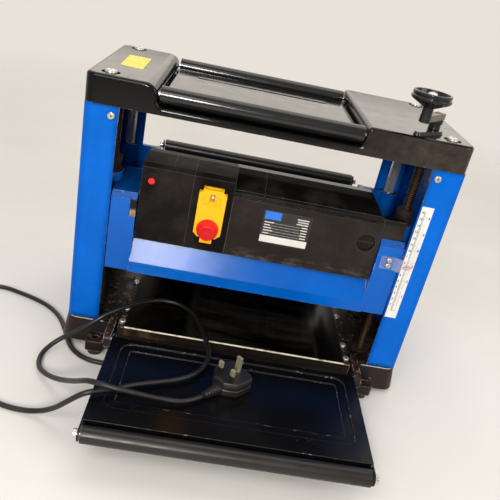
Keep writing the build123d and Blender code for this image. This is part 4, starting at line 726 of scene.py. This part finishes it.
def relief_profile():
    """Ribs that shrink along the strain relief."""
    profile = [(0.2, RELIEF_START), (RELIEF_RADIUS, RELIEF_START)]
    for rib in range(6):
        start = RELIEF_START - rib * RIB_PITCH
        size = RELIEF_RADIUS - rib * RIB_TAPER
        neck = size - RIB_DEPTH
        profile += [(size, start - 2.6), (neck, start - 2.9), (neck, start - 4.1),
                    (size - RIB_TAPER, start - RIB_PITCH)]
    profile += [(RELIEF_TIP, RELIEF_END), (0.2, RELIEF_END)]
    return [(radius * MM, height * MM) for radius, height in profile]


def make_plug():
    bm = bmesh.new()
    add_skin(bm, [[bm.verts.new(PLUG_TURN @ mm(x * grow, y * grow, z)) for x, y in PLUG_OUTLINE]
                  for z, grow in PLUG_LEVELS])
    body = piece("plug_body", from_bmesh("plug_body", bm), mat["plug"], "front_table", bevel=1.1 * MM)
    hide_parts("mains_plug")
    laid_flat = Matrix.Rotation(math.radians(90), 4, "Y")
    along = PLUG_TURN @ Matrix.Translation(mm(0, 0, RELIEF_HEIGHT)) @ laid_flat
    relief = lathe("plug_relief", relief_profile(), along)
    relief = piece("plug_relief", relief, mat["plug"], "front_table", bevel=0.3 * MM)
    bm = bmesh.new()
    for y in (-SLEEVE_OFFSET, SLEEVE_OFFSET):
        add_box(bm, mm(SLEEVE_BACK, y - SLEEVE_HALF, SLEEVE_FOOT),
                mm(SLEEVE_FRONT, y + SLEEVE_HALF, SLEEVE_TOP))
    bmesh.ops.transform(bm, matrix=PLUG_TURN, verts=bm.verts)
    sleeves = piece("pin_sleeves", from_bmesh("pin_sleeves", bm), mat["plug"], "front_table", bevel=0.4 * MM)
    return [body, relief, sleeves]


plug = make_plug()


# Printed and applied pieces: scale, plate, label, bead, screws and seams. Lengths are in millimetres.
def boxes(name, sizes, material, body, bevel=0.0):
    """One piece made of boxes, each given by its low and high corner."""
    bm = bmesh.new()
    for low, high in sizes:
        add_box(bm, mm(*low), mm(*high))
    return piece(name, from_bmesh(name, bm), material, body, bevel=bevel * MM, smooth=False)


def add_number(bm, number, x, y, z, height):
    """A figure on a wall that faces the front, middle left at the given point."""
    text = bpy.data.curves.new("figure", "FONT")
    text.body = str(number)
    text.size = height * MM
    text.extrude = 0.05 * MM
    text.offset = 0.14 * MM
    text.align_y = "CENTER"
    mesh = mesh_of(text)
    mesh.transform(Matrix.Translation(mm(x, y, z)) @ Matrix.Rotation(math.radians(90), 4, "X"))
    bm.from_mesh(mesh)
    bpy.data.meshes.remove(mesh)


INCH = 25.4
SCALE_ZERO = 148.5
SCALE_FACE = -123.0
SCALE_LOW, SCALE_HIGH = (212, SCALE_FACE, 136), (229, -122.5, 317)
METRIC_EDGE, INCH_EDGE = 217.0, 224.6
METRIC_FIGURES, INCH_FIGURES = 213.0, 225.4
METRIC_HALF, INCH_HALF = 0.19, 0.2


def make_scale():
    """Depth scale on the right panel: millimetres on its left, eighths of an inch on its right."""
    boxes("depth_scale", [(SCALE_LOW, SCALE_HIGH)], mat["white"], "base_frame", bevel=0.2)
    bm = bmesh.new()
    front, back = SCALE_FACE - 0.05, SCALE_FACE + 0.1
    for step in range(0, 161):
        length = 4.2 if step % 10 == 0 else 3.4 if step % 5 == 0 else 2.6
        z = SCALE_ZERO + step
        add_box(bm, mm(METRIC_EDGE, front, z - METRIC_HALF), mm(METRIC_EDGE + length, back, z + METRIC_HALF))
    for step in range(0, 49):
        length = 3.4 if step % 8 == 0 else 2.6 if step % 4 == 0 else 1.8
        z = SCALE_ZERO + step * INCH / 8
        add_box(bm, mm(INCH_EDGE - length, front, z - INCH_HALF), mm(INCH_EDGE, back, z + INCH_HALF))
    for number in range(1, 17):
        add_number(bm, number, METRIC_FIGURES, SCALE_FACE, SCALE_ZERO + number * 10, height=4.4)
    for number in range(1, 7):
        add_number(bm, number, INCH_FIGURES, SCALE_FACE, SCALE_ZERO + number * INCH, height=5.2)
    piece("scale_marks", from_bmesh("scale_marks", bm), mat["ink"], "base_frame", smooth=False)


PLATE_FACE = -116.5
PLATE_LOW, PLATE_HIGH = (1.5, PLATE_FACE, 217), (71, -115.9, 268)
FIELD_EDGE = 66.5
FIELD_HEIGHT = 1.5


def make_plate():
    """Bare rating plate: a blank heading, ruled lines with blank fields, and a blank pale band."""
    def field(left, low, right, high):
        return ((left, PLATE_FACE - 0.1, low), (right, PLATE_FACE + 0.1, high))

    boxes("rating_plate", [(PLATE_LOW, PLATE_HIGH)], mat["plate"], "carriage", bevel=0.3)
    boxes("plate_heading", [field(4, 254.5, 27, 266.5)], mat["plate_blue"], "carriage", bevel=0.1)
    pale = [field(2.5, 219, 70, 229.5)]
    for row in range(5):
        z = 232.4 + row * 4.2
        left = 8.5 + 2.5 * ((row * 2) % 3)
        right = 57 - row % 2
        pale.append(field(5, z, 5 + left, z + FIELD_HEIGHT))
        pale.append(field(6 + left, z + 0.1, right, z + 0.4))
        pale.append(field(right + 1, z, FIELD_EDGE, z + FIELD_HEIGHT))
    for row in range(3):
        z = 253.5 + row * 3.6
        pale.append(field(50 + row % 2, z, FIELD_EDGE, z + FIELD_HEIGHT))
    boxes("plate_fields", pale, mat["plate_pale"], "carriage", bevel=0.1)


def make_label():
    """Blank yellow label on the top cover's left end."""
    corners = [(-230.2, 37.0), (-198.0, 39.0), (-196.5, -50.0), (-228.0, -46.0)]
    seat, face = 409.0, 409.3
    bm = bmesh.new()
    add_skin(bm, [[bm.verts.new(mm(x, y, z)) for x, y in corners] for z in (seat, face)])
    bmesh.ops.recalc_face_normals(bm, faces=bm.faces)
    mesh = from_bmesh("blank_label", bm)
    piece("blank_label", mesh, mat["label"], "base_frame", bevel=0.1 * MM, smooth=False)


def make_bead():
    """Long low bead with round ends on the cover's raised middle."""
    left, right, y, half = -121.0, 68.0, 52.0, 6.5
    seat, crown = 393.6, 394.9
    bm = bmesh.new()
    rings = []
    for z in (seat, crown):
        ring = []
        for x, start in ((right, -90), (left, 90)):
            for step in range(13):
                angle = math.radians(start + step * 15)
                ring.append(bm.verts.new(mm(x + half * math.cos(angle), y + half * math.sin(angle), z)))
        rings.append(ring)
    add_skin(bm, rings)
    piece("cover_bead", from_bmesh("cover_bead", bm), mat["cover"], "base_frame", bevel=0.5 * MM)


def facing(x, y, z, way):
    """Turn that sets local Z along a way: up, or to the front or back."""
    angle = {"up": 0, "front": 90, "back": -90}[way]
    return Matrix.Translation(mm(x, y, z)) @ Matrix.Rotation(math.radians(angle), 4, "X")


def screw_head(name, turn, radius, height, material, body):
    """Domed head on its seat."""
    profile = [(0.3, 0.0), (radius, 0.0), (radius, height * 0.45), (radius * 0.85, height * 0.78),
               (radius * 0.55, height * 0.95), (0.3, height)]
    return piece(name, lathe(name, [(r * MM, z * MM) for r, z in profile], turn), material, body)


def add_cross(bm, turn, top, size, width=0.9):
    """Crossed slots of a screw, let into the crown of its head."""
    for across, along in ((size, width), (width, size)):
        cross = bmesh.new()
        add_box(cross, mm(-across / 2, -along / 2, top - 0.9), mm(across / 2, along / 2, top + 0.04))
        mesh = from_bmesh("cross", cross)
        mesh.transform(turn)
        bm.from_mesh(mesh)
        bpy.data.meshes.remove(mesh)


PAN_HEAD, PAN_CROSS = 3.2, 4.6
PANEL_SCREW = (219, 122.5, 358.5)
BED_SCREW_X, BED_SCREW_SEAT = 171, 58
BED_SCREW_ROWS = (-136, -101, -18, 80)
BOLT_X, BOLT_Y, BOLT_SEAT, BOLT_HEAD = 228, 103, 407, 5.5


def make_crosses():
    """Crosses in the screws of panels, bed and cover."""
    bm = bmesh.new()
    x, y, z = PANEL_SCREW
    for side in (-1, 1):
        add_cross(bm, facing(side * x, -y, z, "front"), PAN_HEAD, PAN_CROSS)
        add_cross(bm, facing(side * x, y, z, "back"), PAN_HEAD, PAN_CROSS)
        for row in BED_SCREW_ROWS:
            add_cross(bm, facing(side * BED_SCREW_X, row, BED_SCREW_SEAT, "up"), PAN_HEAD, PAN_CROSS)
        for row in (-BOLT_Y, BOLT_Y):
            add_cross(bm, facing(side * BOLT_X, row, BOLT_SEAT, "up"), BOLT_HEAD, size=4.4, width=1.1)
    piece("screw_slots", from_bmesh("screw_slots", bm), mat["slot"], "base_frame", smooth=False)


POINTER_X, POINTER_FACE = 192, -121.3
POINTER_SCREWS = (("pointer_screw_low", 219.0), ("pointer_screw_high", 227.5))
POINTER_HEAD = 2.4
LINE_FRONT, LINE_BACK = -125.75, -125.6
POINTER_LINES = ((213, 226, 222.5, 223.5), (214, 225, 225.4, 225.9), (214, 225, 220.1, 220.6))
KNOB_BOLT_SEAT = (180.3, -111.0, 461.0)


def make_pointer_screws():
    """Two small screws that hold the depth pointer."""
    for name, z in POINTER_SCREWS:
        turn = facing(POINTER_X, POINTER_FACE, z, "front")
        screw_head(name, turn, 3.9, POINTER_HEAD, mat["steel"], "carriage")
        bm = bmesh.new()
        add_cross(bm, turn, POINTER_HEAD, size=3.2, width=0.6)
        piece(name + "_slots", from_bmesh(name + "_slots", bm), mat["slot"], "carriage", smooth=False)


def make_knob_bolt():
    """Cap of the bolt in the crank knob."""
    turn = facing(*KNOB_BOLT_SEAT, "up")
    screw_head("knob_bolt_cap", turn, 6.3, 4.3, mat["spindle"], "lead_screw_right")


def make_pointer_lines():
    """Three red lines on the depth pointer, the middle one thicker."""
    lines = [((left, LINE_FRONT, low), (right, LINE_BACK, high)) for left, right, low, high in POINTER_LINES]
    boxes("pointer_line", lines, mat["red_ink"], "carriage")


FLAP_X = -72
FLAP_FACE = -131.5
NOTCH_FLOOR, NOTCH_HALF = -130.4, 3.2
PAD_OFFSET, PAD_HALF, PAD_RISE = 8.2, 3.4, 1.8
LEDGE_HALF, LEDGE_RISE = 15, 1.1


def make_flap_details():
    """Two pads and a ledge on the switch flap, and the floor and screw of its notch; the floor is the yellow
    darkened to amber as painted shade.
    """
    notch = facing(FLAP_X, NOTCH_FLOOR, 275.6, "front")
    screw_head("switch_screw", notch, 2.9, 1.8, mat["steel"], "switch_flap")
    moulding = []
    for side in (-1, 1):
        middle = FLAP_X + side * PAD_OFFSET
        low = (middle - PAD_HALF, FLAP_FACE - PAD_RISE, 266.6)
        high = (middle + PAD_HALF, FLAP_FACE, 275.0)
        moulding.append((low, high))
    low = (FLAP_X - LEDGE_HALF, FLAP_FACE - LEDGE_RISE, 263.6)
    high = (FLAP_X + LEDGE_HALF, FLAP_FACE, 265.4)
    moulding.append((low, high))
    boxes("flap_moulding", moulding, mat["yellow"], "switch_flap", bevel=0.5)
    floor = ((FLAP_X - NOTCH_HALF, NOTCH_FLOOR, 269.8), (FLAP_X + NOTCH_HALF, NOTCH_FLOOR + 1, 280.6))
    boxes("flap_notch_floor", [floor], mat["amber"], "switch_flap", bevel=0.2)


def add_strip(bm, line, x, width):
    """Flat strip along an outline of points in Y and Z, let into the wall under it."""
    lift, sink = 0.15, 0.4
    rings = []
    for i, (y, z) in enumerate(line):
        before = line[max(i - 1, 0)]
        after = line[min(i + 1, len(line) - 1)]
        along = Vector((after[0] - before[0], after[1] - before[1])).normalized()
        out = Vector((-along.y, along.x))
        ring = []
        for side, depth in ((-1, lift), (1, lift), (1, -sink), (-1, -sink)):
            ring.append(bm.verts.new(mm(x + side * width / 2, y + out.x * depth, z + out.y * depth)))
        rings.append(ring)
    add_skin(bm, rings)


BOX_LINE = [(-116, 190), (-116, 297), (-110, 302), (-62, 303)]
COVER_LINE = [(-116, 190), (-116, 277), (-111, 277), (-111, 283), (-112, 287), (-100, 295), (-84, 301),
              (-62, 303)]


def make_seams():
    """Moulding seams across the two covers: thin strips along their outline, from the lip to the ridge,
    coloured pale grey as a painted highlight along each seam.
    """
    bm = bmesh.new()
    add_strip(bm, BOX_LINE, -101, 0.5)
    add_strip(bm, BOX_LINE[2:], -131, 0.5)
    add_strip(bm, COVER_LINE, -43.4, 0.6)
    add_strip(bm, COVER_LINE[3:], -2, 0.5)
    bmesh.ops.recalc_face_normals(bm, faces=bm.faces)
    piece("shell_seams", from_bmesh("shell_seams", bm), mat["seam"], "carriage", smooth=False)


make_scale()
make_plate()
make_label()
make_bead()
make_crosses()
make_pointer_screws()
make_knob_bolt()
make_flap_details()
make_pointer_lines()
make_seams()


# Floor and light, in metres
def make_stage():
    """Pale round floor that fades into the pale surroundings."""
    fade_start, fade_end = 0.9, 2.2
    bm = bmesh.new()
    bmesh.ops.create_circle(bm, cap_ends=True, segments=64, radius=4.0)
    floor = bpy.data.objects.new("floor", from_bmesh("floor", bm))
    bpy.context.scene.collection.objects.link(floor)
    s = Shader("pale_floor")
    tint = s.mix(s.band(s.noise(3, 3), 0.3, 0.7), rgb(226, 223, 218), rgb(233, 230, 226))
    reach = s.add("ShaderNodeVectorMath", operation="LENGTH")
    s.join(s.place, reach.inputs[0])
    fade = s.band(reach.outputs["Value"], fade_start, fade_end, 1.0, 0.0)
    s.set(Base_Color=tint, Roughness=0.65, Alpha=fade)
    floor.data.materials.append(s.material)


def lamp(name, place, target, size, power, colour=(1.0, 0.98, 0.95)):
    """Soft rectangular lamp that points at a target."""
    data = bpy.data.lights.new(name, "AREA")
    data.shape = "RECTANGLE"
    data.size, data.size_y = size
    data.energy = power
    data.color = colour
    obj = bpy.data.objects.new(name, data)
    obj.location = place
    obj.rotation_euler = (Vector(target) - Vector(place)).to_track_quat("-Z", "Y").to_euler()
    bpy.context.scene.collection.objects.link(obj)


def make_lamps():
    """Lamps round the machine; the window one gives the highlight on the carriage's front beam."""
    middle = (0.0, 0.0, 0.2)
    warm = (1.0, 0.92, 0.82)
    carriage_front = (-0.14, -0.11, 0.17)
    lamp("key", (-0.8, -1.8, 1.9), middle, size=(1.2, 1.0), power=21)
    lamp("fill", (1.7, -1.2, 1.3), middle, size=(1.4, 1.2), power=14)
    lamp("top", (0.0, 0.5, 2.2), middle, size=(1.8, 1.4), power=12)
    lamp("window", (-0.285, -1.95, 0.95), carriage_front, size=(0.24, 0.36), power=20)
    lamp("back", (0.0, 2.4, 1.7), (0.0, 0.0, 0.4), size=(3.4, 1.8), power=16, colour=warm)


def make_world():
    """Surroundings: paler behind the machine than in front of it, as in a room with one pale wall."""
    front_level, back_level = 0.5, 0.85
    diffuse_level = 0.42
    world = bpy.data.worlds.new("studio")
    bpy.context.scene.world = world
    world.use_nodes = True
    tree = world.node_tree

    def add(kind, **inputs):
        """New node; an input is given by its name, or by its number after an underscore."""
        node = tree.nodes.new(kind)
        for key, value in inputs.items():
            which = int(key[1:]) if key.startswith("_") else key.replace("_", " ")
            if isinstance(value, bpy.types.NodeSocket):
                tree.links.new(value, node.inputs[which])
            else:
                node.inputs[which].default_value = value
        return node

    def higher(first, second):
        node = add("ShaderNodeMath", _0=first, _1=second)
        node.operation = "MAXIMUM"
        return node.outputs[0]

    way = add("ShaderNodeSeparateXYZ", Vector=add("ShaderNodeTexCoord").outputs["Generated"]).outputs["Y"]
    wall = add("ShaderNodeMapRange", Value=way, From_Min=-0.1, From_Max=0.45, To_Min=front_level,
               To_Max=back_level)
    path = add("ShaderNodeLightPath").outputs
    seen = higher(higher(path["Is Camera Ray"], path["Is Glossy Ray"]), path["Is Transmission Ray"])
    level = add("ShaderNodeMapRange", Value=seen, To_Min=diffuse_level, To_Max=wall.outputs["Result"])
    back = tree.nodes["Background"]
    tree.links.new(level.outputs["Result"], back.inputs["Strength"])
    back.inputs["Color"].default_value = rgb(250, 243, 234)


make_stage()
make_lamps()
make_world()
bpy.context.scene.view_settings.view_transform = "Standard"
